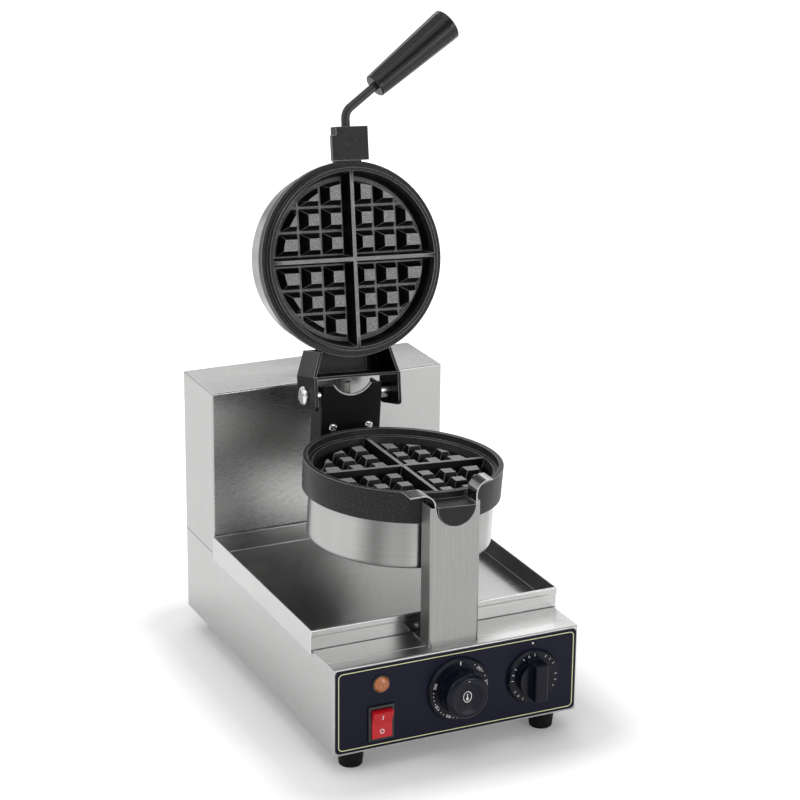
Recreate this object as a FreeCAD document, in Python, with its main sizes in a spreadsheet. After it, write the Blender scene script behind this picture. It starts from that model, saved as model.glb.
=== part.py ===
# Rotary waffle baker: a steel stand, a head that turns on a fore-and-aft axle, and a hinged lid.
# Millimetres, +Z up, user at -Y. The origin is on the floor in the machine's centre plane.
import FreeCAD, Part
import os
import re
import Sketcher

V = FreeCAD.Vector
doc = FreeCAD.newDocument("WaffleBaker")

# Driving sizes
SIZES = {
    # stand
    "base_width": 250, "base_depth": 380, "base_height": 86, "wall": 1.2, "bend": 1.5,
    "tower_over": 32.8, "tower_clear": 29, "floor_plate": 1.5, "plate_gap": 0.2,
    "seam_back": 16, "seam_width": 0.5, "seam_depth": 0.4, "throat_side": 30, "throat_end": 12,
    "cover_screw_in": 8, "cover_screw_low": 14, "cover_screw_high": 16,
    "cover_tab": 14, "cover_tab_thick": 2.2,
    "foot_height": 20, "foot_top": 13, "foot_tip": 11, "foot_inset_side": 26, "foot_inset_end": 20,
    "foot_edge": 1, "floor_slot": 4, "floor_slot_length": 80, "floor_slot_pitch": 12,
    # drip tray
    "tray_overhang": 2, "tray_front": 48, "tray_rim": 20, "tray_skirt": 4, "tray_wall": 1,
    "tray_gap": 0.3, "tray_hem": 6, "tray_hem_thick": 1.5, "tray_back_gap": 1.5,
    # front post and saddle
    "post_width": 50, "post_depth": 20, "post_front": 9, "post_wall": 1.5, "post_foot": 35,
    "post_bend": 3, "post_screw_back": 8, "saddle_thick": 1.2, "saddle_gap": 0.1, "saddle_depth": 18,
    "wing_radius": 12, "wing_tab_left": 13, "wing_tab_right": 3, "wing_rise_left": 0.5,
    "wing_rise_right": 7, "wing_ease": 0.5,
    # turning axle
    "axis_height": 222.7, "head_tilt": 3, "journal_radius": 19.3, "journal_gap": 0.3,
    "journal_reach": 33, "journal_ahead": 13.2, "journal_proud": 2, "journal_bite": 6,
    "journal_root": 28, "journal_root_top": 13, "journal_root_run": 4, "part_gap": 0.3,
    # pans, one deep grid in each
    "boss_run": 27, "ring_radius": 95.1, "ring_taper": 0.9, "ring_top": 6.5, "ring_bottom": 24,
    "lip_inside": 89.8, "lip_draft": 0.8, "spigot_radius": 89.3, "spigot_draft": 0.4,
    "cavity_radius": 85.5, "cavity_draft": 5, "floor_lap": 3, "shroud_fit": 0.5,
    "grid_depth": 17, "peg_height": 13.5, "peg_field": 76.5, "peg_field_draft": 3,
    "grid_pitch": 23.5, "grid_start": 4.5, "groove_floor": 2.2, "peg_top": 11,
    "divider_top": 3.6, "divider_base": 8.6, "divider_root": 0.5, "divider_bite": 1,
    "boss_width": 52, "boss_bite": 2, "lid_ring_height": 10.5, "lid_casting": 24,
    "riser_start": 66, "riser_end": 82, "riser_bite": 2, "tongue_thick": 6, "tongue_gap": 1,
    # steel shrouds
    "shroud_radius": 87.9, "shroud_wall": 1, "lower_shroud_depth": 71.3, "upper_shroud_height": 55,
    "shroud_round": 5,
    # heating elements
    "element_ring": 56, "element_angle": 330, "element_tube": 4, "element_leg": 16, "element_gap": 0.2,
    "clamp_width": 16, "clamp_thick": 2, "clamp_over": 8, "clamp_stud": 3, "clamp_stud_out": 30,
    # hinge between the two halves
    "pin_behind": 9.6, "hinge_rise": 31.8, "lid_opening": 103.5,
    "bracket_width": 64.8, "bracket_depth": 25, "bracket_top": 43.5, "bracket_low": 30,
    "bracket_wall": 2.5, "bracket_bend": 1.8, "notch_radius": 22.4, "notch_depth": 10.5,
    "flange_over_pin": 8.2, "boss_drop": 8, "pin_radius": 5, "pin_clearance": 0.05, "pin_head": 9.5,
    "pin_head_height": 5, "spacer_radius": 8, "nut_radius": 6.9, "nut_length": 5, "run_gap": 0.3,
    "ear_span": 92, "ear_wall": 3, "ear_back": 14, "ear_low": 25, "ear_round": 5, "end_wall": 16.5,
    "web_rise": 16.5, "lid_flange": 23, "lid_neck": 76, "web_gap": 0.6, "ear_notch": 5,
    "ear_notch_run": 8, "lid_screw_out": 31, "lid_screw_bite": 4.5,
    # rotor shaft and its bearing in the tower
    "shaft_radius": 14, "shaft_bore": 8, "shaft_flange": 27, "shaft_flange_thick": 5, "shaft_room": 3,
    "shaft_tail": 3, "bearing_clearance": 0.05, "bush_radius": 18, "bush_length": 24,
    "housing_radius": 24, "housing_flange": 60, "housing_flange_thick": 5, "housing_corner": 4,
    "housing_screw_in": 8, "collar_radius": 22, "collar_length": 10, "bracket_screw_offset": 19.2,
    # handle
    "rod_radius": 4.25, "rod_height": 9, "rod_run": 7.2, "rod_bend": 14, "rod_angle": 54,
    "rod_arm": 33, "rod_depth": 20, "rod_end_gap": 0.3, "grip_length": 104, "grip_small": 12,
    "grip_large": 16.5, "grip_dome": 3, "grip_edge": 1, "grip_crown": 1.5, "grip_socket": 30,
    "flute_count": 16, "flute_radius": 1.3, "flute_start": 4, "flute_short": 10,
    # front panel, lamp and switch
    "panel_thick": 1, "panel_margin": 2, "panel_corner": 4,
    "temp_z": 45.5, "timer_in": 48, "timer_z": 44, "lamp_z": 65.2, "switch_in": 46.7, "switch_z": 27,
    "lamp_radius": 7.5, "lamp_bezel": 1.5, "lamp_shoulder": 1, "lamp_rim": 1, "lamp_edge": 0.5,
    "lamp_dome": 4, "lamp_body_length": 22, "lens_fit": 0.1, "lens_seat": 0.5, "lens_shoulder": 6,
    "lens_crown": 3, "lens_rise": 1, "lens_peak": 1.2,
    "switch_width": 26, "switch_height": 34.5, "switch_rim": 1.6, "switch_proud": 2.5, "switch_round": 1.2,
    "switch_body_depth": 24, "switch_wall": 1, "switch_fit": 0.1, "switch_lap": 1,
    "rocker_tip": 8, "rocker_gap": 0.4, "rocker_proud": 6, "rocker_dip": 3.2, "rocker_depth": 7,
    "rocker_end_gap": 1.2, "rocker_taper": 1, "rocker_room": 3,
    # knobs and what they turn
    "skirt_radius": 31.5, "skirt_thick": 4, "skirt_edge": 1.5, "cap_radius": 21.5, "cap_taper": 1,
    "cap_round": 4.5, "knob_reach": 24, "knob_gap": 0.5, "knob_bore": 8, "cap_dish": 4.5, "cap_insert": 16,
    "cap_fit": 0.1, "cap_edge": 4, "cap_centre": 0.9,
    "timer_skirt": 27, "timer_bar": 13, "timer_bar_length": 36, "timer_reach": 22, "timer_hub": 17.5,
    "timer_hub_rise": 7, "timer_root": 1, "timer_round": 2,
    "spindle_radius": 3, "spindle_clearance": 0.08, "spindle_room": 3, "spindle_grip": 7.8,
    "spindle_tail": 8, "control_body": 22, "control_body_depth": 32, "control_bore": 12,
    "timer_body_size": 44,
    # rear fittings
    "vent_count": 7, "vent_width": 120, "vent_slot": 4, "vent_pitch": 11, "vent_low": 40,
    "gland_radius": 11, "gland_reach": 20, "gland_bore": 4.5, "gland_height": 34, "gland_side": 70,
    "gland_nut": 5, "gland_neck": 8, "gland_tail": 10, "gland_step": 2, "gland_taper": 4, "gland_lip": 1,
    "terminal_length": 60, "terminal_width": 20, "terminal_height": 18, "terminal_hole": 2.5,
    "terminal_hole_depth": 6, "terminal_aside": 20, "terminal_ahead": 45,
    # small fasteners
    "screw_radius": 2, "screw_head": 4.2, "screw_head_height": 2.4, "screw_clear": 0.1,
    "sleeve_radius": 4.5, "sleeve_bore": 3.2, "sleeve_back": 6.4, "sleeve_rise": 41,
}

# Places that follow from the sizes: front to back along the axle, and side to side on the panel
PLACES = {
    "pan_centre": "(post_front - journal_ahead + journal_reach + ring_radius)",
    "bracket_front": "(pan_centre + ring_radius + boss_run)",
    "hinge_back": "(bracket_front + pin_behind)",
    "tower_front": "(bracket_front + bracket_depth + tower_clear)",
    "tower_top": "(axis_height + tower_over)",
    "shaft_end": "(tower_front + wall + bush_length + run_gap + collar_length + shaft_tail)",
    "temp_x": "0",
    "timer_x": "(base_width / 2 - timer_in)",
    "switch_x": "(switch_in - base_width / 2)",
    "lamp_x": "(switch_in - base_width / 2)",
}

sheet = doc.addObject("Spreadsheet::Sheet", "Sizes")
for row, (alias, value) in enumerate(SIZES.items(), start=1):
    sheet.set("A%d" % row, alias)
    sheet.set("B%d" % row, str(value))
    sheet.setAlias("B%d" % row, alias)
doc.recompute()

ALIAS = re.compile(r"\b(" + "|".join(SIZES) + r")\b")
PLACE = re.compile(r"\b(" + "|".join(PLACES) + r")\b")


def cells(text):
    """Turn the names of places and sizes in a formula into references to the sheet."""
    text = str(text)
    while PLACE.search(text):
        text = PLACE.sub(lambda found: PLACES[found.group(1)], text)
    return ALIAS.sub(r"Sizes.\1", text)


def bind(obj, **formulas):
    for prop, text in formulas.items():
        obj.setExpression(prop.replace("__", "."), cells(text))


# Three frames: the stand, the head turned on its axle, and the lid shut on its hinge
frames = doc.addObject("App::VarSet", "Frames")
FRONT = "(knob_reach - base_depth - gland_reach) / 2"
FRAMES = {
    "stand": "placement(vector(0; %s; foot_height); rotation(0; 0; 0))" % FRONT,
    "head": "placement(vector(0; %s; foot_height + axis_height); rotation(0; head_tilt; 0))" % FRONT,
    "lid": "placement(vector(hinge_rise * sin(head_tilt * 1 deg); %s + hinge_back;"
           " foot_height + axis_height + hinge_rise * cos(head_tilt * 1 deg));"
           " rotation(0; head_tilt; -lid_opening))" % FRONT,
}
for name, text in FRAMES.items():
    frames.addProperty("App::PropertyPlacement", name)
    frames.setExpression(name, cells(text))
doc.recompute()

NODES = []
PAST = "1"  # how far a cut runs out past a face
AXES = {"x": (V(0, 1, 0), 90), "y": (V(1, 0, 0), -90), "z": (V(0, 0, 1), 0), "-y": (V(1, 0, 0), 90),
        "-z": (V(1, 0, 0), 180), "-x": (V(0, 1, 0), -90)}


def seat(obj, frame, at=("0", "0", "0"), roll=0):
    """Place a finished sub-part in its frame and put it on the list to write."""
    x, y, z = at
    text = "Frames.%s * placement(vector(%s; %s; %s); rotation(0; 0; %s))" % (frame, x, y, z, roll)
    obj.setExpression("Placement", cells(text))
    NODES.append(obj)
    return obj


def new_body(label):
    made = doc.addObject("PartDesign::Body", label)
    made.Label = label
    return made


def put(obj, x, y, z):
    bind(obj, Placement__Base__x=x, Placement__Base__y=y, Placement__Base__z=z)


def make(owner, kind, cut=False):
    """A primitive in a body, added or cut, or a free one in the document."""
    if owner is None:
        return doc.addObject("Part::" + kind, kind)
    return owner.newObject("PartDesign::" + ("Subtractive" if cut else "Additive") + kind, kind)


def block(owner, x0, x1, y0, y1, z0, z1, cut=False):
    made = make(owner, "Box", cut)
    bind(made, Length="(%s) - (%s)" % (x1, x0), Width="(%s) - (%s)" % (y1, y0),
         Height="(%s) - (%s)" % (z1, z0))
    put(made, x0, y0, z0)
    return made


def pocket(owner, x0, x1, y0, y1, z0, z1, past):
    """Cut a box out of a body; past names the sides, such as -y or +z, that the cut runs out through."""
    low = [x0, y0, z0]
    high = [x1, y1, z1]
    for way, axis in enumerate("xyz"):
        if "-" + axis in past:
            low[way] = "%s - %s" % (low[way], PAST)
        if "+" + axis in past:
            high[way] = "%s + %s" % (high[way], PAST)
    return block(owner, low[0], high[0], low[1], high[1], low[2], high[2], True)


def round_bar(owner, axis, x, y, z, radius, length, cut=False, sweep=360, turn=0):
    made = make(owner, "Cylinder", cut)
    spin = FreeCAD.Rotation(V(0, 0, 1), turn)
    made.Placement = FreeCAD.Placement(V(), FreeCAD.Rotation(*AXES[axis]).multiply(spin))
    bind(made, Radius=radius, Height=length)
    made.Angle = sweep
    put(made, x, y, z)
    return made


def wedge(owner, along, half_low, half_high, reach, z_low, z_high, across, cut=False):
    """A straight bar of tapered section, lying along X or Y at the distance across from the middle."""
    made = make(owner, "Wedge", cut)
    turn = FreeCAD.Rotation(V(0, 0, 1), 90 if along == "y" else 0)
    made.Placement = FreeCAD.Placement(V(), turn.multiply(FreeCAD.Rotation(V(1, 0, 0), 90)))
    low = "(%s)" % half_low
    high = "(%s)" % half_high
    bind(made, Xmin="-(%s)" % reach, Xmax=reach, X2min="-(%s)" % reach, X2max=reach,
         Zmin="-" + low, Zmax=low, Z2min="-" + high, Z2max=high, Ymin=z_low, Ymax=z_high)
    put(made, across if along == "y" else "0", "0" if along == "y" else across, "0")
    return made


def outline(owner, plane, points):
    """A closed straight-sided sketch whose every corner is tied to the sheet."""
    doc.recompute()
    sketch = owner.newObject("Sketcher::SketchObject", "Outline")
    support = [f for f in owner.Origin.OriginFeatures if f.Role == plane][0]
    sketch.AttachmentSupport = [(support, "")]
    sketch.MapMode = "FlatFace"
    spots = [tuple(float(sheet_value(text)) for text in point) for point in points]
    count = len(spots)
    for i in range(count):
        start = V(spots[i][0], spots[i][1], 0)
        end = V(spots[(i + 1) % count][0], spots[(i + 1) % count][1], 0)
        sketch.addGeometry(Part.LineSegment(start, end))
    for i in range(count):
        sketch.addConstraint(Sketcher.Constraint("Coincident", i, 2, (i + 1) % count, 1))
    for i in range(count):
        for way, kind in enumerate(("DistanceX", "DistanceY")):
            number = sketch.addConstraint(Sketcher.Constraint(kind, -1, 1, i, 1, spots[i][way]))
            label = "%s%d" % ("across" if way == 0 else "up", i)
            sketch.renameConstraint(number, label)
            sketch.setExpression("Constraints." + label, cells(points[i][way]))
    return sketch


probe = doc.addObject("App::VarSet", "Probe")
probe.addProperty("App::PropertyFloat", "value")


def sheet_value(text):
    """The number that a formula of sheet names gives now."""
    return probe.evalExpression(cells(text))


def lathe(owner, points):
    """A round piece: an outline of radius and height turned about its own upright axis."""
    sketch = outline(owner, "XZ_Plane", points)
    made = owner.newObject("PartDesign::Revolution", "Turned")
    made.Profile = sketch
    made.ReferenceAxis = (sketch, ["V_Axis"])
    made.Angle = 360
    return made


def pad(owner, plane, points, length, start=None, cut=False):
    """A flat piece, or a cut: an outline thickened from a start height, or to both sides of its plane."""
    sketch = outline(owner, plane, points)
    made = owner.newObject("PartDesign::" + ("Pocket" if cut else "Pad"), "Plate")
    made.Profile = sketch
    made.Reversed = cut
    made.Midplane = start is None
    if start is not None:
        bind(sketch, AttachmentOffset__Base__z=start)
    bind(made, Length=length)
    return made


def soften(owner, radius, chosen):
    """Round the edges of a body that the test picks."""
    doc.recompute()
    base = owner.Tip
    names = ["Edge%d" % n for n, edge in enumerate(base.Shape.Edges, start=1) if chosen(edge)]
    made = owner.newObject("PartDesign::Fillet", "Rounded")
    made.Base = (base, names)
    bind(made, Radius=radius)
    return made


def upright(edge):
    return is_line(edge, 2)


def is_line(edge, axis):
    ends = edge.Vertexes
    if len(ends) != 2 or edge.Curve.TypeId != "Part::GeomLine":
        return False
    way = ends[1].Point - ends[0].Point
    return abs(way[axis]) > 0.999 * way.Length


def on(edge, axis, text):
    """True where the middle of an edge lies at this value on an axis."""
    return abs(edge.CenterOfMass[axis] - sheet_value(text)) < 0.01


def group(label, kind, members):
    made = doc.addObject("Part::" + kind, label)
    made.Label = label
    if kind == "Cut":
        made.Base, made.Tool = members
    elif kind == "Compound":
        made.Links = members
    else:
        made.Shapes = members
    return made


def screw(axis, x, y, z, length):
    """A round-head screw: its head stands on the seat given, its shank runs along the axis."""
    back = {"y": (x, y + " - screw_head_height", z), "-y": (x, y + " + screw_head_height", z),
            "-z": (x, y, z + " + screw_head_height")}[axis]
    return group("Screw", "MultiFuse", [round_bar(None, axis, *back, "screw_head", "screw_head_height"),
                                        round_bar(None, axis, x, y, z, "screw_radius", length)])


def hole(owner, axis, x, y, z, radius, length):
    """A round hole through a plate, from a point on one face and cut a little past both."""
    start = {"x": x, "y": y, "z": z}
    start[axis] = "%s - %s" % (start[axis], PAST)
    through = "%s + 2 * %s" % (length, PAST)
    return round_bar(owner, axis, start["x"], start["y"], start["z"], radius, through, True)


def drill(owner, axis, x, y, z, length):
    """A screw's clearance hole through a plate."""
    return hole(owner, axis, x, y, z, "screw_radius + screw_clear", length)


# Stand: housings
HALF = "base_width / 2"
POST_SCREWS = ("-post_width / 4", "post_width / 4")
POST_SCREW_Y = "post_front + post_depth + post_screw_back"
COVER_SCREW_Z = ("base_height + cover_screw_low", "tower_top - cover_screw_high")
COVER_SCREWS = [("%d * (base_width / 2 - wall - cover_screw_in)" % side, z)
                for side in (-1, 1) for z in COVER_SCREW_Z]
BOWL_STEPS = 6
FLOOR_SLOTS = 5
TERMINALS = 5
PANEL_HOLES = (("temp_x", "temp_z", "spindle_radius + spindle_room"),
               ("timer_x", "timer_z", "spindle_radius + spindle_room"),
               ("lamp_x", "lamp_z", "lamp_radius - lamp_shoulder"))


def panel_openings(owner, front, thick):
    """The holes for the controls through the front wall or the panel on it."""
    for x, z, radius in PANEL_HOLES:
        hole(owner, "y", x, front, z, radius, thick)
    wide = "(switch_width / 2 - switch_rim)"
    tall = "(switch_height / 2 - switch_rim)"
    pocket(owner, "switch_x - " + wide, "switch_x + " + wide, front, front + " + " + thick,
           "switch_z - " + tall, "switch_z + " + tall, "-y +y")


def base_housing():
    made = new_body("base_housing")
    block(made, "-" + HALF, HALF, "0", "base_depth", "0", "base_height")
    soften(made, "bend", lambda e: on(e, 1, "0") and not on(e, 2, "0"))
    pocket(made, "wall - " + HALF, HALF + " - wall", "wall", "base_depth - wall",
           "0", "base_height - wall", "-z")
    panel_openings(made, "0", "wall")
    pocket(made, "throat_side - " + HALF, HALF + " - throat_side", "tower_front + throat_end",
           "base_depth - throat_end", "base_height - wall", "base_height", "-z +z")
    hole(made, "y", "gland_side", "base_depth - wall", "gland_height", "gland_neck", "wall")
    for x in POST_SCREWS:
        drill(made, "z", x, POST_SCREW_Y, "base_height - wall", "wall")
    pocket(made, "-" + HALF, HALF, "seam_back", "seam_back + seam_width",
           "base_height - seam_depth", "base_height", "-x +x +z")
    return seat(made, "stand")


def bottom_plate():
    made = new_body("bottom_plate")
    inset = "(wall + plate_gap)"
    block(made, inset + " - " + HALF, HALF + " - " + inset, inset, "base_depth - " + inset,
          "0", "floor_plate")
    for k in range(FLOOR_SLOTS):
        middle = "base_depth / 2 + %d * floor_slot_pitch" % k
        pocket(made, "-floor_slot_length / 2", "floor_slot_length / 2", middle + " - floor_slot / 2",
               middle + " + floor_slot / 2", "0", "floor_plate", "-z +z")
    return seat(made, "stand")


def tower_housing():
    made = new_body("tower_housing")
    block(made, "-" + HALF, HALF, "tower_front", "base_depth", "base_height", "tower_top")
    soften(made, "bend", lambda e: on(e, 1, "tower_front") and not on(e, 2, "base_height")
           or on(e, 2, "tower_top") and not on(e, 1, "base_depth"))
    pocket(made, "wall - " + HALF, HALF + " - wall", "tower_front + wall", "base_depth", "base_height",
           "tower_top - wall", "+y -z")
    hole(made, "y", "0", "tower_front", "axis_height", "shaft_radius + shaft_room", "wall")
    return seat(made, "stand")


def tower_back_cover():
    made = new_body("tower_back_cover")
    inset = "(wall + plate_gap)"
    block(made, inset + " - " + HALF, HALF + " - " + inset, "base_depth - wall", "base_depth",
          "base_height + plate_gap", "tower_top - " + inset)
    for k in range(SIZES["vent_count"]):
        low = "base_height + vent_low + %d * vent_pitch" % k
        pocket(made, "-vent_width / 2", "vent_width / 2", "base_depth - wall", "base_depth",
               low, low + " + vent_slot", "-y +y")
    for x, z in COVER_SCREWS:
        drill(made, "y", x, "base_depth - wall", z, "wall")
    return seat(made, "stand")


def cover_tabs():
    """Folded corner tabs inside the tower that the back cover's screws bite into."""
    tabs = []
    for side in (-1, 1):
        edge = "%d * (base_width / 2 - wall)" % side
        inner = "%d * (base_width / 2 - wall - cover_tab)" % side
        low, high = (inner, edge) if side > 0 else (edge, inner)
        for z in COVER_SCREW_Z:
            tabs.append(block(None, low, high, "base_depth - wall - cover_tab_thick", "base_depth - wall",
                              z + " - cover_tab / 2", z + " + cover_tab / 2"))
    return seat(group("cover_tabs", "Compound", tabs), "stand")


def cover_screws():
    made = [screw("-y", x, "base_depth", z, length="wall") for x, z in COVER_SCREWS]
    return seat(group("cover_screws", "Compound", made), "stand")


def feet():
    for end, y in (("front", "foot_inset_end"), ("rear", "base_depth - foot_inset_end")):
        for side, sign in (("left", -1), ("right", 1)):
            made = new_body("foot_%s_%s" % (end, side))
            lathe(made, [("0", "0"), ("foot_tip - foot_edge", "0"), ("foot_tip", "foot_edge"),
                         ("foot_top", "foot_height"), ("0", "foot_height")])
            x = "%d * (base_width / 2 - foot_inset_side)" % sign
            seat(made, "stand", (x, y, "-foot_height"))


# Drip tray standing on the base
def drip_tray():
    made = new_body("drip_tray")
    outer = "(base_width / 2 + tray_overhang)"
    floor = "base_height + tray_gap"
    rear = "(tower_front - tray_back_gap)"
    rim = "base_height + tray_rim"
    block(made, "-" + outer, outer, "tray_front", rear, "base_height - tray_skirt", rim)
    inside = outer + " - tray_wall"
    pocket(made, "tray_wall - " + outer, inside, "tray_front + tray_wall", rear + " - tray_wall",
           floor + " + tray_wall", rim, "+z")
    pocket(made, "tray_wall - " + outer, inside, "tray_front", rear, "base_height - tray_skirt", floor,
           "-y +y -z")
    block(made, "-" + outer, outer, "tray_front - tray_hem_thick", "tray_front", rim + " - tray_hem", rim)
    return seat(made, "stand")


# Front post with its saddle
def front_post():
    made = new_body("front_post")
    half = "post_width / 2"
    back = "post_front + post_depth"
    block(made, "-" + half, half, "post_front", back, "base_height", "axis_height")
    soften(made, "post_bend", lambda e: upright(e) and on(e, 1, "post_front"))
    pocket(made, "post_wall - " + half, half + " - post_wall", "post_front + post_wall", back,
           "base_height", "axis_height", "+y -z +z")
    block(made, "-" + half, half, "post_front + post_wall", "post_front + post_foot", "base_height",
          "base_height + post_wall")
    for x in POST_SCREWS:
        drill(made, "z", x, POST_SCREW_Y, "base_height", "post_wall")
    notch = "journal_radius + journal_gap + saddle_thick + saddle_gap"
    hole(made, "y", "0", "post_front", "axis_height", notch, "post_wall")
    return seat(made, "stand")


def saddle_strip():
    made = new_body("saddle_strip")
    inner = "(journal_radius + journal_gap)"
    outer = "(" + inner + " + saddle_thick)"
    wing = "(wing_radius + saddle_thick)"
    middle = "(" + inner + " + wing_ease + " + wing + ")"
    start = "post_front"
    end = "post_front + saddle_depth"
    round_bar(made, "y", "0", start, "axis_height", outer, "saddle_depth", sweep=180)
    hole(made, "y", "0", start, "axis_height", inner, "saddle_depth")
    for sign, side in ((-1, "left"), (1, "right")):
        turn = 0 if sign < 0 else 90
        centre = "%d * %s" % (sign, middle)
        level = "axis_height + wing_rise_" + side
        round_bar(made, "-y", centre, end, level, wing, "saddle_depth", sweep=90, turn=turn)
        hole(made, "y", centre, start, level, "wing_radius", "saddle_depth")
        tab = (centre, "%d * (%s + wing_tab_%s)" % (sign, middle, side))
        low, high = tab if sign > 0 else tab[::-1]
        block(made, low, high, start, end, level + " + wing_radius", level + " + " + wing)
        riser = ("%d * (%s + wing_ease)" % (sign, inner), "%d * (%s + wing_ease)" % (sign, outer))
        low, high = riser if sign > 0 else riser[::-1]
        block(made, low, high, start, end, "axis_height", level)
    return seat(made, "stand")


def post_screws():
    made = [screw("-z", x, POST_SCREW_Y, "base_height + post_wall", "post_wall + wall") for x in POST_SCREWS]
    return seat(group("post_screws", "Compound", made), "stand")


# Pans: the same deep grid in each half, facing up in the lower pan and down in the upper one
HINGE_ARM = "(pan_centre - hinge_back)"
PAN = ("0", "pan_centre", "0")
LID_PAN = ("0", HINGE_ARM, "-hinge_rise")
REACH = "(ring_radius + journal_reach)"


def grid(owner, face, up):
    """Cut the grooves that leave the square pegs; up is 1 where the pegs point up."""
    floor = "%s - %d * grid_depth" % (face, up)
    tops = "%s + %d * peg_height" % (floor, up)
    low = "groove_floor / 2"
    high = "(grid_pitch - peg_top) / 2"
    for along in ("x", "y"):
        for line in range(-2, 3):
            side = (line > 0) - (line < 0)
            across = "%d * (grid_start + %d * grid_pitch)" % (side, abs(line))
            extra = "" if side else "grid_start + "
            bottom = extra + low
            top = extra + high
            if up > 0:
                wedge(owner, along, bottom, top, "peg_field + " + PAST, floor, tops, across, True)
            else:
                wedge(owner, along, top, bottom, "peg_field + " + PAST, tops, floor, across, True)


def dividers(owner, face, up):
    """The two crossing walls that part the grid into quarters."""
    root = "%s - %d * (grid_depth + divider_root)" % (face, up)
    reach = "cavity_radius + divider_bite"
    for along in ("x", "y"):
        if up > 0:
            wedge(owner, along, "divider_base / 2", "divider_top / 2", reach, root, face, "0")
        else:
            wedge(owner, along, "divider_top / 2", "divider_base / 2", reach, face, root, "0")


def lower_pan():
    made = new_body("lower_pan")
    rim = "(cavity_radius - cavity_draft)"
    reach = "(journal_reach - journal_ahead + journal_proud)"
    lap = rim + " + floor_lap"
    tops = "peg_height - grid_depth"
    lathe(made, [("0", "-ring_bottom"), (lap, "-ring_bottom"), (lap, "-grid_depth"),
                 ("peg_field", "-grid_depth"), ("peg_field - peg_field_draft", tops), ("0", tops)])
    grid(made, "0", 1)
    lathe(made, [(rim, "-ring_bottom"), ("ring_radius - ring_taper", "-ring_bottom"),
                 ("ring_radius", "ring_top"), ("lip_inside + lip_draft", "ring_top"), ("lip_inside", "0"),
                 ("cavity_radius", "0"), (rim, "-grid_depth")])
    dividers(made, "0", 1)
    round_bar(made, "y", "0", "-ring_radius - " + reach, "-part_gap / 2", "journal_radius",
              reach + " + journal_bite", sweep=180)
    block(made, "-boss_width / 2", "boss_width / 2", "cavity_radius + boss_bite", "bracket_front - pan_centre",
          "-ring_bottom", "-boss_drop")
    return seat(made, "head", PAN)


def upper_pan():
    made = new_body("upper_pan")
    rim = "(cavity_radius - cavity_draft)"
    back = "(ring_top + part_gap + lid_ring_height)"
    inside = "(shroud_radius - shroud_wall - shroud_fit)"
    floor = "(part_gap + grid_depth)"
    lap = rim + " + floor_lap"
    lathe(made, [("0", "lid_casting"), (lap, "lid_casting"), (lap, floor), ("peg_field", floor),
                 ("peg_field - peg_field_draft", floor + " - peg_height"), ("0", floor + " - peg_height")])
    grid(made, "part_gap", -1)
    lathe(made, [(rim, "lid_casting"), (inside, "lid_casting"), (inside, back),
                 ("ring_radius - ring_taper", back), ("ring_radius", "ring_top + part_gap"),
                 ("spigot_radius", "ring_top + part_gap"),
                 ("spigot_radius - spigot_draft", "part_gap"), ("cavity_radius", "part_gap"), (rim, floor)])
    dividers(made, "part_gap", -1)
    block(made, "-journal_root / 2", "journal_root / 2", "-ring_radius - journal_root_run", "-spigot_radius",
          "ring_top + part_gap", "journal_root_top")
    round_bar(made, "-y", "0", "-ring_radius - part_gap", "part_gap / 2", "journal_radius",
              "journal_reach - part_gap", sweep=180)
    pocket(made, "-journal_radius", "ear_notch - journal_radius", "-" + REACH, "ear_notch_run - " + REACH,
           "0", "journal_radius", "-x -y -z")
    round_bar(made, "y", "0", "-" + REACH, "rod_height", "rod_radius", "rod_depth", True)
    block(made, "-boss_width / 2", "boss_width / 2", "riser_start", "riser_end", "lid_casting - riser_bite",
          "hinge_rise + web_rise")
    block(made, "-boss_width / 2", "boss_width / 2", "riser_start",
          "-" + HINGE_ARM + " - end_wall - bracket_wall - tongue_gap", "hinge_rise + web_rise - tongue_thick",
          "hinge_rise + web_rise")
    for side in (-1, 1):
        round_bar(made, "-z", "%d * boss_width / 4" % side, "-" + HINGE_ARM + " - lid_screw_out",
                  "hinge_rise + web_rise", "screw_radius + screw_clear", "lid_screw_bite + screw_clear", True)
    return seat(made, "lid", LID_PAN)


def shroud(label, open_end, closed_end, frame, at, slot=False):
    """A thin steel cup from the back of a casting to its closed end."""
    made = new_body(label)
    way = 1 if frame == "lid" else -1
    inner_end = "%s - %d * shroud_wall" % (closed_end, way)
    lathe(made, [("0", closed_end), ("shroud_radius", closed_end), ("shroud_radius", open_end),
                 ("shroud_radius - shroud_wall", open_end), ("shroud_radius - shroud_wall", inner_end),
                 ("0", inner_end)])
    soften(made, "shroud_round", lambda e: on(e, 2, closed_end) and e.Curve.TypeId == "Part::GeomCircle")
    soften(made, "shroud_round - shroud_wall",
           lambda e: on(e, 2, inner_end) and e.Curve.TypeId == "Part::GeomCircle")
    if slot:
        pocket(made, "-boss_width / 2 - plate_gap", "boss_width / 2 + plate_gap", "0", "shroud_radius",
               open_end, "hinge_rise + web_rise + plate_gap", "+y -z")
    return seat(made, frame, at)


def element(label, frame, at, roll):
    """A tubular heating ring under the back of a casting, with its two cold ends."""
    ring = doc.addObject("Part::Torus", "Ring")
    bind(ring, Radius1="element_ring", Radius2="element_tube", Placement__Base__z="-element_tube - element_gap")
    bind(ring, Angle3="element_angle")
    legs = []
    for angle in ("0", "element_angle"):
        x = "element_ring * cos(%s * 1 deg)" % angle
        y = "element_ring * sin(%s * 1 deg)" % angle
        legs.append(round_bar(None, "-z", x, y, "-element_tube - element_gap", "element_tube", "element_leg"))
    return seat(group(label, "MultiFuse", [ring] + legs), frame, at, roll)


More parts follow.
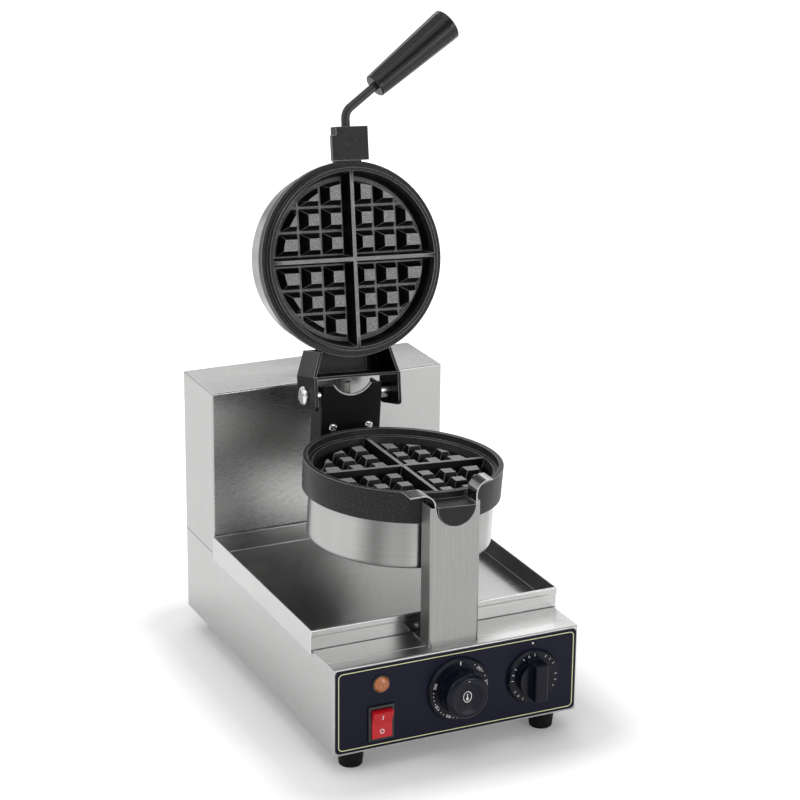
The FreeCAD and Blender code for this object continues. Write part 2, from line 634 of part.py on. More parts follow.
def clamp(label, frame, at, roll):
    """A bar on two studs that holds the heating ring against the casting."""
    made = new_body(label)
    under = "-2 * (element_tube + element_gap)"
    half = "(element_ring + clamp_over)"
    block(made, "-clamp_width / 2", "clamp_width / 2", "-" + half, half, under + " - clamp_thick", under)
    for side in (-1, 1):
        round_bar(made, "z", "0", "%d * clamp_stud_out" % side, under + " - clamp_thick", "clamp_stud",
                  "2 * (element_tube + element_gap) + clamp_thick")
    return seat(made, frame, at, roll)


# Hinge and rotor
def lower_bracket():
    made = new_body("lower_bracket")
    half = "bracket_width / 2"
    front, rear = "bracket_front", "bracket_front + bracket_depth"
    block(made, "-" + half, half, front, front + " + bracket_wall", "-bracket_low", "bracket_top")
    for side in (-1, 1):
        ends = ("%d * bracket_width / 2" % side, "%d * (bracket_width / 2 - bracket_wall)" % side)
        low, high = ends if side < 0 else ends[::-1]
        block(made, low, high, front, rear, "-bracket_low", "hinge_rise + flange_over_pin")
    soften(made, "bracket_bend", lambda e: upright(e) and on(e, 1, front))
    hole(made, "y", "0", front, "bracket_top - notch_depth + notch_radius", "notch_radius", "bracket_wall")
    hole(made, "x", "-" + half, "hinge_back", "hinge_rise", "pin_radius + pin_clearance", "bracket_width")
    for side in (-1, 1):
        drill(made, "y", "%d * bracket_screw_offset" % side, front, "0", "bracket_wall")
    return seat(made, "head")


def bracket_screws():
    made = [screw("y", "%d * bracket_screw_offset" % side, "bracket_front", "0",
                  "bracket_wall + shaft_flange_thick") for side in (-1, 1)]
    return seat(group("bracket_screws", "Compound", made), "head")


def rotor_shaft():
    made = new_body("rotor_shaft")
    length = "shaft_end - bracket_front - bracket_wall"
    lathe(made, [("shaft_bore", "0"), ("shaft_flange", "0"), ("shaft_flange", "shaft_flange_thick"),
                 ("shaft_radius", "shaft_flange_thick"), ("shaft_radius", length), ("shaft_bore", length)])
    for side in (-1, 1):
        drill(made, "z", "%d * bracket_screw_offset" % side, "0", "0", "shaft_flange_thick")
    return seat(made, "head", ("0", "bracket_front + bracket_wall", "0"), -90)


def shaft_collar():
    made = new_body("shaft_collar")
    lathe(made, [("shaft_radius", "0"), ("collar_radius", "0"), ("collar_radius", "collar_length"),
                 ("shaft_radius", "collar_length")])
    return seat(made, "head", ("0", "tower_front + wall + bush_length + run_gap", "0"), -90)


HOUSING_SCREW = "(housing_flange / 2 - housing_screw_in)"


def bearing_housing():
    made = new_body("bearing_housing")
    half = "housing_flange / 2"
    block(made, "-" + half, half, "-" + half, half, "0", "housing_flange_thick")
    soften(made, "housing_corner", upright)
    round_bar(made, "z", "0", "0", "0", "housing_radius", "bush_length")
    hole(made, "z", "0", "0", "0", "bush_radius", "bush_length")
    for x in ("-" + HOUSING_SCREW, HOUSING_SCREW):
        for y in ("-" + HOUSING_SCREW, HOUSING_SCREW):
            drill(made, "z", x, y, "0", "housing_flange_thick")
    return seat(made, "stand", ("0", "tower_front + wall", "axis_height"), -90)


def bearing_bush():
    made = new_body("bearing_bush")
    bore = "shaft_radius + bearing_clearance"
    lathe(made, [(bore, "0"), ("bush_radius", "0"), ("bush_radius", "bush_length"), (bore, "bush_length")])
    return seat(made, "stand", ("0", "tower_front + wall", "axis_height"), -90)


def bearing_screws():
    made = [screw("-y", "%d * %s" % (x, HOUSING_SCREW), "tower_front + wall + housing_flange_thick",
                  "axis_height + %d * %s" % (z, HOUSING_SCREW), "housing_flange_thick")
            for x in (-1, 1) for z in (-1, 1)]
    return seat(group("bearing_screws", "Compound", made), "stand")


def hinge_screws():
    made = []
    for side, axis in ((-1, "x"), (1, "-x")):
        seat_x = "%d * (ear_span / 2 + run_gap)" % side
        tip = "ear_span / 2 + run_gap - bracket_width / 2 + bracket_wall + nut_length"
        head_x = "%d * (ear_span / 2 + run_gap + pin_head_height)" % side
        made.append(group("Pin", "MultiFuse", [
            round_bar(None, axis, head_x, "hinge_back", "hinge_rise", "pin_head", "pin_head_height"),
            round_bar(None, axis, seat_x, "hinge_back", "hinge_rise", "pin_radius", tip)]))
    return seat(group("hinge_screws", "Compound", made), "head")


def hinge_rings(label, start, length, radius):
    """A pair of rings on the hinge screws, each from a distance out from the middle."""
    made = []
    for side, axis in ((-1, "-x"), (1, "x")):
        x = "%d * (%s)" % (side, start)
        made.append(group("Ring", "Cut", (
            round_bar(None, axis, x, "hinge_back", "hinge_rise", radius, length),
            round_bar(None, axis, x, "hinge_back", "hinge_rise", "pin_radius + pin_clearance", length))))
    return seat(group(label, "Compound", made), "head")


def wire_sleeve():
    """The sleeved leads that rise from the hollow shaft behind the bracket's notch."""
    at = ("0", "hinge_back + sleeve_back", "shaft_radius + plate_gap")
    tube = group("wire_sleeve", "Cut", (
        round_bar(None, "z", *at, "sleeve_radius", "sleeve_rise - shaft_radius"),
        round_bar(None, "z", *at, "sleeve_bore", "sleeve_rise - shaft_radius")))
    return seat(tube, "head")


def lid_bracket():
    made = new_body("lid_bracket")
    half, neck = "ear_span / 2", "lid_neck / 2"
    end = "-end_wall - bracket_wall"
    start = HINGE_ARM + " + shroud_radius + web_gap"
    mouth = start + " - " + PAST
    top = "web_rise + bracket_wall"
    corners = [("-" + neck, start), (neck, start), (half, end), (half, "-end_wall"), ("-" + half, "-end_wall"),
               ("-" + half, end)]
    pad(made, "XY_Plane", corners, "lid_flange + " + top, "-lid_flange")
    inside = [("ear_wall - " + neck, mouth), (neck + " - ear_wall", mouth), (half + " - ear_wall", end),
              ("ear_wall - " + half, end)]
    pad(made, "XY_Plane", inside, "lid_flange + web_rise + " + PAST, "-lid_flange - " + PAST, True)
    for side in (-1, 1):
        ends = ("%d * ear_span / 2" % side, "%d * (ear_span / 2 - ear_wall)" % side)
        low, high = ends if side < 0 else ends[::-1]
        block(made, low, high, end, "ear_back", "-ear_low", top)
    soften(made, "ear_round", lambda e: is_line(e, 0) and on(e, 1, "ear_back"))
    hole(made, "x", "-" + half, "0", "0", "pin_radius + pin_clearance", "ear_span")
    for side in (-1, 1):
        drill(made, "z", "%d * boss_width / 4" % side, "-lid_screw_out", "web_rise", "bracket_wall")
    return seat(made, "lid")


def lid_screws():
    made = [screw("-z", "%d * boss_width / 4" % side, "-lid_screw_out", "web_rise + bracket_wall",
                  "bracket_wall + lid_screw_bite") for side in (-1, 1)]
    return seat(group("lid_screws", "Compound", made), "lid")


# Handle
ROD_Y = "(" + HINGE_ARM + " - " + REACH + ")"
ROD_Z = "rod_height - hinge_rise"
BEND_Y = "(" + ROD_Y + " - rod_run)"
ARM_X = "(rod_bend * (1 - cos(rod_angle * 1 deg)))"
ARM_Y = "(" + BEND_Y + " - rod_bend * sin(rod_angle * 1 deg))"


def aim(obj, x, y, z):
    """Place a piece whose own axis points along the handle's arm."""
    text = "placement(vector(%s; %s; %s); rotation(rod_angle - 90; 90; 0))" % (x, y, z)
    obj.setExpression("Placement", cells(text))


def handle_rod():
    start = round_bar(None, "-y", "0", ROD_Y + " + rod_depth - rod_end_gap", ROD_Z, "rod_radius",
                      "rod_depth - rod_end_gap + rod_run")
    bend = doc.addObject("Part::Torus", "Bend")
    bend.Placement = FreeCAD.Placement(V(), FreeCAD.Rotation(V(0, 0, 1), 180))
    bind(bend, Radius1="rod_bend", Radius2="rod_radius", Angle3="rod_angle")
    put(bend, "rod_bend", BEND_Y, ROD_Z)
    arm = doc.addObject("Part::Cylinder", "Arm")
    bind(arm, Radius="rod_radius", Height="rod_arm + grip_socket - rod_end_gap")
    aim(arm, ARM_X, ARM_Y, ROD_Z)
    return seat(group("handle_rod", "MultiFuse", [start, bend, arm]), "lid")


def handle_grip():
    made = new_body("handle_grip")
    shoulder = "grip_length - grip_dome"
    lathe(made, [("rod_radius", "0"), ("grip_small - grip_edge", "0"), ("grip_small", "grip_edge"),
                 ("grip_large", shoulder + " - grip_edge"), ("grip_large - grip_crown", shoulder),
                 ("grip_large / 2", "grip_length - grip_dome / 4"), ("0", "grip_length"), ("0", "grip_socket"),
                 ("rod_radius", "grip_socket")])
    flute = make(made, "Cylinder", True)
    flute.setExpression("Placement", cells(
        "placement(vector(grip_small + flute_radius / 2; 0; flute_start);"
        " rotation(0; atan2(grip_large - grip_small; grip_length) / 1 deg; 0))"))
    bind(flute, Radius="flute_radius", Height=shoulder + " - flute_short")
    around = made.newObject("PartDesign::PolarPattern", "Flutes")
    around.Originals = [flute]
    around.Axis = ([f for f in made.Origin.OriginFeatures if f.Role == "Z_Axis"][0], [""])
    around.Angle = 360
    bind(around, Occurrences="flute_count")
    made.Tip = around
    NODES.append(made)
    end_x = ARM_X + " + rod_arm * sin(rod_angle * 1 deg)"
    end_y = ARM_Y + " - rod_arm * cos(rod_angle * 1 deg)"
    made.setExpression("Placement", cells(
        "Frames.lid * placement(vector(%s; %s; %s); rotation(rod_angle - 90; 90; 0))" % (end_x, end_y, ROD_Z)))
    return made


# Front controls
PANEL_FRONT = "-panel_thick"


def control_panel():
    made = new_body("control_panel")
    half = "(base_width / 2 - panel_margin)"
    block(made, "-" + half, half, PANEL_FRONT, "0", "panel_margin", "base_height - panel_margin")
    soften(made, "panel_corner", lambda e: is_line(e, 1))
    panel_openings(made, PANEL_FRONT, "panel_thick")
    return seat(made, "stand")


def lamp():
    body = new_body("lamp_body")
    stem = "lamp_radius - lamp_shoulder - plate_gap"
    rim = "lamp_radius + lamp_bezel"
    well = "lamp_radius + lens_fit"
    top = "lamp_rim + lamp_edge"
    lathe(body, [("0", "-lamp_body_length"), (stem, "-lamp_body_length"), (stem, "0"), (rim, "0"),
                 (rim, "lamp_rim"), (rim + " - lamp_edge", top), (well, top), (well, "lens_seat"),
                 ("0", "lens_seat")])
    seat(body, "stand", ("lamp_x", PANEL_FRONT, "lamp_z"), 90)
    lens = new_body("lamp_lens")
    lathe(lens, [("0", "lens_seat"), ("lamp_radius", "lens_seat"), ("lamp_radius", "lamp_dome / 2"),
                 ("lens_shoulder", "lamp_dome"), ("lens_crown", "lamp_dome + lens_rise"),
                 ("0", "lamp_dome + lens_peak")])
    seat(lens, "stand", ("lamp_x", PANEL_FRONT, "lamp_z"), 90)


def rocker_switch():
    body = new_body("switch_housing")
    wide, tall = "switch_width / 2", "switch_height / 2"
    stem_w = "(switch_width / 2 - switch_rim - switch_fit)"
    stem_t = "(switch_height / 2 - switch_rim - switch_fit)"
    block(body, "-" + wide, wide, "-" + tall, tall, "0", "switch_proud")
    soften(body, "switch_round", lambda e: on(e, 2, "switch_proud"))
    block(body, "-" + stem_w, stem_w, "-" + stem_t, stem_t, "-switch_body_depth", "switch_lap")
    pocket(body, "switch_wall - " + stem_w, stem_w + " - switch_wall", "switch_wall - " + stem_t,
           stem_t + " - switch_wall", "-rocker_depth - rocker_room", "switch_proud", "+z")
    seat(body, "stand", ("switch_x", PANEL_FRONT, "switch_z"), 90)
    button = new_body("rocker_button")
    end = "(" + stem_t + " - switch_wall - rocker_end_gap)"
    side = [("-" + end, "rocker_proud"), ("0", "rocker_dip"), (end, "rocker_proud"),
            (end + " - rocker_taper", "-rocker_depth"), ("rocker_taper - " + end, "-rocker_depth")]
    pad(button, "YZ_Plane", side, "2 * (" + stem_w + " - switch_wall - rocker_gap)")
    seat(button, "stand", ("switch_x", PANEL_FRONT, "switch_z"), "90 + rocker_tip")


def temperature_knob():
    made = new_body("temperature_knob")
    top = "(knob_reach - panel_thick - knob_gap)"
    dish = top + " - cap_dish"
    bored = "skirt_thick + knob_bore"
    lathe(made, [("spindle_radius", "0"), ("skirt_radius", "0"), ("skirt_radius", "skirt_edge"),
                 ("skirt_radius - skirt_edge", "skirt_thick"), ("cap_radius + cap_taper", "skirt_thick"),
                 ("cap_radius", top), ("cap_insert", top), ("cap_insert", dish), ("0", dish), ("0", bored),
                 ("spindle_radius", bored)])
    soften(made, "cap_round",
           lambda e: on(e, 2, top) and e.BoundBox.XMax > sheet_value("cap_insert + cap_taper"))
    seat(made, "stand", ("temp_x", "-panel_thick - knob_gap", "temp_z"), 90)
    cap = new_body("temperature_knob_cap")
    bowl = [("(cap_insert - cap_fit) * %d / %d" % (k, BOWL_STEPS),
             dish + " + cap_centre + (cap_edge - cap_centre) * (%d / %d) ^ 2" % (k, BOWL_STEPS))
            for k in range(BOWL_STEPS, -1, -1)]
    lathe(cap, [("0", dish), ("cap_insert - cap_fit", dish)] + bowl)
    seat(cap, "stand", ("temp_x", "-panel_thick - knob_gap", "temp_z"), 90)


def timer_knob():
    made = new_body("timer_knob")
    top = "(timer_reach - panel_thick - knob_gap)"
    lathe(made, [("0", "0"), ("timer_skirt", "0"), ("timer_skirt", "skirt_edge"),
                 ("timer_skirt - skirt_edge", "skirt_thick"), ("0", "skirt_thick")])
    block(made, "-timer_bar / 2", "timer_bar / 2", "-timer_bar_length / 2", "timer_bar_length / 2",
          "timer_root", top)
    soften(made, "timer_round", lambda e: on(e, 2, top))
    round_bar(made, "z", "0", "0", "timer_root", "timer_hub", "skirt_thick + timer_hub_rise - timer_root")
    round_bar(made, "z", "0", "0", "0", "spindle_radius", "skirt_thick + knob_bore", True)
    seat(made, "stand", ("timer_x", "-panel_thick - knob_gap", "timer_z"), 90)


def spindle(label, x, z):
    made = new_body(label)
    round_bar(made, "y", x, "-panel_thick - knob_gap - skirt_thick - spindle_grip", z, "spindle_radius",
              "panel_thick + knob_gap + skirt_thick + spindle_grip + wall + spindle_tail")
    return seat(made, "stand")


def control_bodies():
    """The thermostat and the timer behind the front wall, each bored for its spindle."""
    bore = "spindle_radius + spindle_clearance"
    thermostat = new_body("thermostat_body")
    lathe(thermostat, [(bore, "0"), ("control_body", "0"), ("control_body", "control_body_depth"),
                       ("0", "control_body_depth"), ("0", "control_bore"), (bore, "control_bore")])
    seat(thermostat, "stand", ("temp_x", "wall", "temp_z"), -90)
    timer = new_body("timer_body")
    half = "timer_body_size / 2"
    block(timer, "-" + half, half, "-" + half, half, "0", "control_body_depth")
    round_bar(timer, "z", "0", "0", "0", bore, "control_bore", True)
    seat(timer, "stand", ("timer_x", "wall", "timer_z"), -90)


# Rear fittings
def terminal_block():
    made = new_body("terminal_block")
    block(made, "-terminal_length / 2", "terminal_length / 2", "-terminal_width / 2", "terminal_width / 2",
          "0", "terminal_height")
    for k in range(TERMINALS):
        x = "terminal_length * ((%d + 0.5) / %d - 0.5)" % (k, TERMINALS)
        round_bar(made, "-z", x, "0", "terminal_height", "terminal_hole", "terminal_hole_depth", True)
    return seat(made, "stand", ("gland_side - terminal_aside", "base_depth - terminal_ahead", "floor_plate"))


def cable_gland():
    made = new_body("cable_gland")
    neck = "gland_neck - plate_gap"
    step = "gland_radius - gland_step"
    lathe(made, [("gland_bore", "-gland_tail"), (neck, "-gland_tail"), (neck, "0"), ("gland_radius", "0"),
                 ("gland_radius", "gland_nut"), (step, "gland_nut"), (step, "gland_reach - gland_taper"),
                 ("gland_bore + gland_lip", "gland_reach"), ("gland_bore", "gland_reach")])
    return seat(made, "stand", ("gland_side", "base_depth", "gland_height"), -90)


base_housing()
bottom_plate()
tower_housing()
tower_back_cover()
cover_tabs()
cover_screws()
feet()
drip_tray()
front_post()
saddle_strip()
post_screws()
control_panel()
lamp()
rocker_switch()
temperature_knob()
timer_knob()
spindle("thermostat_spindle", "temp_x", "temp_z")
spindle("timer_spindle", "timer_x", "timer_z")
control_bodies()
terminal_block()
cable_gland()
bearing_housing()
bearing_bush()
bearing_screws()
rotor_shaft()
shaft_collar()
lower_bracket()
bracket_screws()
hinge_screws()
hinge_rings("hinge_spacers", "bracket_width / 2", "ear_span / 2 - ear_wall - bracket_width / 2 - run_gap",
            "spacer_radius")
hinge_rings("hinge_nuts", "bracket_width / 2 - bracket_wall - nut_length", "nut_length", "nut_radius")
wire_sleeve()
lower_pan()
shroud("lower_shroud", "-ring_bottom", "-lower_shroud_depth", "head", PAN)
LOWER_BACK = ("0", "pan_centre", "-ring_bottom")
UPPER_BACK = ("0", HINGE_ARM, "lid_casting - hinge_rise")
element("lower_element", "head", LOWER_BACK, 0)
clamp("lower_element_clamp", "head", LOWER_BACK, 0)
upper_pan()
shroud("upper_shroud", "ring_top + part_gap + lid_ring_height", "upper_shroud_height", "lid", LID_PAN, True)
element("upper_element", "lid", UPPER_BACK, 180)
clamp("upper_element_clamp", "lid", UPPER_BACK, 180)
lid_bracket()
lid_screws()
handle_rod()
handle_grip()
doc.recompute()

# Nothing is written unless every piece is sound
for obj in doc.Objects:
    if "Invalid" in obj.State or "Error" in obj.State:
        raise RuntimeError("%s failed: %s" % (obj.Label, obj.State))
for obj in NODES:
    if obj.Shape.isNull() or not obj.Shape.isValid():
        raise RuntimeError("%s has no sound shape" % obj.Label)

os.makedirs("parts", exist_ok=True)
for obj in NODES:
    obj.Shape.exportStep("parts/%s.step" % obj.Label)
print("%d sub-parts written" % len(NODES))
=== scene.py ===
"""Looks of the rotary waffle baker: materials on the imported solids, printed marks and screw heads."""
import math

import bmesh
import bpy
from mathutils import Matrix, Vector


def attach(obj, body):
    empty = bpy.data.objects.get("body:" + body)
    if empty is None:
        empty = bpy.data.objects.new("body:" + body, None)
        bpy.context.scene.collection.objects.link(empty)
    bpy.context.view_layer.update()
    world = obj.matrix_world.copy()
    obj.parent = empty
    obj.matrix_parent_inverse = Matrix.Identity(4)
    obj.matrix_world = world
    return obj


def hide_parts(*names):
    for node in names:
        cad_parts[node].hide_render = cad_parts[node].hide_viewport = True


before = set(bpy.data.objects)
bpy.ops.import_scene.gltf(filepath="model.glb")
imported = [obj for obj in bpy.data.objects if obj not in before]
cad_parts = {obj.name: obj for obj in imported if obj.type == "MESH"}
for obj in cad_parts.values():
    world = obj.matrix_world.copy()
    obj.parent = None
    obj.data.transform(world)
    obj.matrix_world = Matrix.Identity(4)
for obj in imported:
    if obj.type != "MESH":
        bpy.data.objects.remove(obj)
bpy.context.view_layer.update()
scene = bpy.context.scene

MM = 0.001
UP = Vector((0, 0, 1))
SIDES = (-1, 1)

# The head and the lid as they stand at rest. The hinge and the pan's centre are in the head's own frame.
HEAD_TILT = math.radians(3)
LID_OPEN = math.radians(103.5)
HINGE = Vector((0.0, 0.2556, 0.0318))
PAN_CENTRE = Vector((0.0, 0.1239, 0.0))
BRACKET_FACE = 0.246
HEAD_PLACE = Matrix.Translation((0.0, -0.188, 0.2427)) @ Matrix.Rotation(HEAD_TILT, 4, "Y")
LID_PLACE = HEAD_PLACE @ Matrix.Translation(HINGE) @ Matrix.Rotation(-LID_OPEN, 4, "X")

# The centre and the axis of each pan, and the centre, the axis and the bare radius of the bracket's notch
LOWER_GRID = (HEAD_PLACE @ PAN_CENTRE, HEAD_PLACE.to_3x3() @ UP)
UPPER_GRID = (LID_PLACE @ (PAN_CENTRE - HINGE), LID_PLACE.to_3x3() @ UP)
NOTCH = (HEAD_PLACE @ Vector((0.0, BRACKET_FACE, 0.0554)), Vector((0, 1, 0)), 0.0238)

# The control panel: the depth of its faces, and where the controls stand on it
PANEL_Y = -0.189
SKIRT_LIFT = 4.56 * MM
KNOB_TOP = -0.212
CAP_BOTTOM = -0.2075
TEMP = Vector((0.0, PANEL_Y, 0.0655))
TIMER = Vector((0.077, PANEL_Y, 0.064))
SWITCH = Vector((-0.0783, PANEL_Y, 0.047))
INK_LIFT = 0.05 * MM

# The span of a noise texture that is put to use
NOISE_LOW, NOISE_HIGH = 0.3, 0.7


# Shared shader effects
def effect(name, inputs, outputs):
    """An empty shader group with its named sockets, and the two ends of the wires inside it."""
    tree = bpy.data.node_groups.new(name, "ShaderNodeTree")
    for label, kind, value in inputs:
        socket = tree.interface.new_socket(label, in_out="INPUT", socket_type=kind)
        socket.default_value = value
    for label, kind in outputs:
        tree.interface.new_socket(label, in_out="OUTPUT", socket_type=kind)
    return tree, tree.nodes.new("NodeGroupInput").outputs, tree.nodes.new("NodeGroupOutput").inputs


def node(tree, kind, settings=None, **links):
    """Add a node, set its options, and feed its inputs by socket name, or by number as i0, i1 and so on."""
    made = tree.nodes.new("ShaderNode" + kind)
    for key, value in (settings or {}).items():
        setattr(made, key, value)
    for key, value in links.items():
        numbered = key[0] == "i" and key[1:].isdigit()
        socket = made.inputs[int(key[1:]) if numbered else key]
        if isinstance(value, bpy.types.NodeSocket):
            tree.links.new(value, socket)
        else:
            socket.default_value = value
    return made


def maths(tree, operation, a, b=0.0, clamp=False):
    return node(tree, "Math", {"operation": operation, "use_clamp": clamp}, i0=a, i1=b).outputs[0]


def remap(tree, value, low, high, to_low, to_high, curve="LINEAR"):
    made = node(tree, "MapRange", {"interpolation_type": curve}, i0=value, i1=low, i2=high, i3=to_low, i4=to_high)
    return made.outputs[0]


def spread(tree, texture, to_low, to_high):
    """The middle of a noise texture's values, stretched between two others."""
    return remap(tree, texture, NOISE_LOW, NOISE_HIGH, to_low, to_high)


def vectors(tree, operation, a, b=(0, 0, 0)):
    return node(tree, "VectorMath", {"operation": operation}, i0=a, i1=b).outputs[0]


def measure(tree, operation, a, b=(0, 0, 0)):
    """A length or a dot product: the vector operations that give a number."""
    return node(tree, "VectorMath", {"operation": operation}, i0=a, i1=b).outputs["Value"]


def noise(tree, place, scale, detail, rough=0.5):
    return node(tree, "TexNoise", None, Vector=place, Scale=scale, Detail=detail, Roughness=rough).outputs["Fac"]


def choose(tree, mask, low, high):
    """One number where the mask is zero and another where it is one."""
    return node(tree, "Mix", {"data_type": "FLOAT"}, i0=mask, i2=low, i3=high).outputs[0]


def height_of(tree, vector):
    return node(tree, "SeparateXYZ", None, i0=vector).outputs[2]


def from_axis(tree, place, centre, axis):
    """The vector from a line to a point, turned a quarter about the line; its length is their distance."""
    return vectors(tree, "CROSS_PRODUCT", vectors(tree, "SUBTRACT", place, centre), axis)


def faces_along(tree, normal, axis, least):
    """One on the faces that look along an axis, either way, and zero on the rest."""
    along = measure(tree, "DOT_PRODUCT", normal, axis)
    return maths(tree, "GREATER_THAN", maths(tree, "ABSOLUTE", along), least)


def brushing_effect():
    """Fine drawn lines, one run on the walls and another on the level faces, with a soft cloud over both."""
    tree, given, out = effect(
        "brushing",
        [("Wall Run", "NodeSocketVector", (25, 25, 2600)), ("Top Run", "NodeSocketVector", (25, 2600, 25))],
        [("Lines", "NodeSocketFloat"), ("Cloud", "NodeSocketFloat"), ("Level", "NodeSocketFloat")])
    own = node(tree, "TexCoord").outputs
    place = own["Object"]
    level = faces_along(tree, own["Normal"], UP, least=0.7)
    on_walls, on_tops = (noise(tree, vectors(tree, "MULTIPLY", place, run), scale=1.0, detail=3.0, rough=0.7)
                         for run in (given["Wall Run"], given["Top Run"]))
    tree.links.new(choose(tree, level, on_walls, on_tops), out["Lines"])
    tree.links.new(level, out["Level"])
    tree.links.new(noise(tree, place, scale=9.0, detail=2.0), out["Cloud"])
    return tree


def edge_effect():
    """A mask of the edges, where a coat wears, a cut sheet is bare or an edge gets a painted highlight, and the
    normal of the rounded edge.
    """
    tree, given, out = effect("edge_wear_and_glint", [("Width", "NodeSocketFloat", 0.0006)],
                              [("Edge", "NodeSocketFloat"), ("Rounded", "NodeSocketVector")])
    rounded = node(tree, "Bevel", {"samples": 6}, Radius=given["Width"]).outputs[0]
    tree.links.new(rounded, out["Rounded"])
    likeness = measure(tree, "DOT_PRODUCT", rounded, node(tree, "NewGeometry").outputs["Normal"])
    flat, turned = 0.985, 0.86
    tree.links.new(remap(tree, likeness, flat, turned, 0.0, 1.0), out["Edge"])
    return tree


def grain_effect():
    """The pebbled skin of a coated casting or a moulding."""
    tree, given, out = effect(
        "grain", [("Size", "NodeSocketFloat", 900.0)],
        [("Height", "NodeSocketFloat"), ("Speckle", "NodeSocketFloat"), ("Cloud", "NodeSocketFloat")])
    place = node(tree, "TexCoord").outputs["Object"]
    pebbles = noise(tree, place, scale=given["Size"], detail=2.0, rough=0.6)
    tree.links.new(pebbles, out["Height"])
    tree.links.new(remap(tree, pebbles, 0.52, NOISE_HIGH, 0.0, 1.0), out["Speckle"])
    tree.links.new(noise(tree, place, scale=22.0, detail=3.0), out["Cloud"])
    return tree


def grid_effect():
    """Painted light and shade for a pan's grid, about the pan's axis: a mask of its flat faces, drawn pale as if
    lit, and one of the flanks between them, drawn black as if shaded.
    """
    tree, given, out = effect(
        "grid_painted_light_and_shade", [("Centre", "NodeSocketVector", (0, 0, 0)), ("Axis", "NodeSocketVector", (0, 0, 1))],
        [("Painted Light", "NodeSocketFloat"), ("Painted Shade", "NodeSocketFloat")])
    light_fades, light_ends, grid_ends = 0.074, 0.084, 0.0835
    own = node(tree, "TexCoord").outputs
    radius = measure(tree, "LENGTH", from_axis(tree, own["Object"], given["Centre"], given["Axis"]))
    level = faces_along(tree, own["Normal"], given["Axis"], least=0.9)
    # Painted light on the flat faces inside the grid, fading out towards its rim, and painted shade on its flanks
    painted_light = remap(tree, radius, light_fades, light_ends, 1.0, 0.0)
    tree.links.new(maths(tree, "MULTIPLY", level, painted_light), out["Painted Light"])
    inside = maths(tree, "LESS_THAN", radius, grid_ends)
    tree.links.new(maths(tree, "MULTIPLY", inside, maths(tree, "SUBTRACT", 1.0, level)), out["Painted Shade"])
    return tree


def painted_reflection_effect():
    """Painted reflections for a round wall: soft light and dark bands that run along its axis, as a brushed round
    wall reflects the room, and a plain one on its flat end.
    """
    tree, given, out = effect(
        "bands", [("Centre", "NodeSocketVector", (0, 0, 0)), ("Axis", "NodeSocketVector", (0, 0, 1)),
                  ("Shift", "NodeSocketVector", (0, 0, 0))],
        [("Reflection Band", "NodeSocketColor")])
    own = node(tree, "TexCoord").outputs
    across = from_axis(tree, own["Object"], given["Centre"], given["Axis"])
    soft = noise(tree, vectors(tree, "ADD", across, given["Shift"]), scale=24.0, detail=1.0, rough=0.4)
    darkest, lightest = 0.55, 1.4
    reflection_band = remap(tree, soft, 0.36, 0.62, darkest, lightest)
    end = faces_along(tree, own["Normal"], given["Axis"], least=0.5)
    tree.links.new(choose(tree, end, reflection_band, 1.0), out["Reflection Band"])
    return tree


BRUSHING = brushing_effect()
EDGE_WEAR_AND_GLINT = edge_effect()
GRAIN = grain_effect()
GRID_LIGHT_AND_SHADE = grid_effect()
PAINTED_REFLECTION = painted_reflection_effect()


# Materials
REFLECTION_SHIFT = (0.1, 0.1, 0.0)
PAINTED_TOP_LOW = 0.88
SEAM_SHADE = (0.02, 0.02, 0.02)
STEEL_PATCH = 0.03
COAT_PATCH = 0.06
LEAST_WEAR_OR_GLINT = 0.35
PAINTED_LIGHT_LOW = (0.22, 0.22, 0.226)
PAINTED_LIGHT_HIGH = (0.58, 0.58, 0.59)
PAINTED_SHADE_BLACK = (0.003, 0.003, 0.003)


def new_material(name):
    made = bpy.data.materials.new(name)
    made.use_nodes = True
    tree = made.node_tree
    tree.nodes.clear()
    shader = tree.nodes.new("ShaderNodeBsdfPrincipled")
    target = tree.nodes.new("ShaderNodeOutputMaterial")
    tree.links.new(shader.outputs[0], target.inputs[0])
    return made, tree, shader


def place_effect(tree, group, **values):
    made = tree.nodes.new("ShaderNodeGroup")
    made.node_tree = group
    for key, value in values.items():
        made.inputs[key.replace("_", " ")].default_value = value
    return made.outputs


def blend_colour(tree, mask, low, high, way="MIX"):
    """Two colours, each a triple or the output of a node, blended by a mask."""
    low, high = ((*tone, 1) if isinstance(tone, tuple) else tone for tone in (low, high))
    return node(tree, "Mix", {"data_type": "RGBA", "blend_type": way}, i0=mask, i6=low, i7=high).outputs[2]


def steel_grey(value):
    return (value, value, value - 0.005)


def add_bump(tree, shader, height, strength, distance, rounded=None):
    made = node(tree, "Bump", None, Strength=strength, Distance=distance, Height=height)
    if rounded:
        tree.links.new(rounded, made.inputs["Normal"])
    tree.links.new(made.outputs[0], shader.inputs["Normal"])


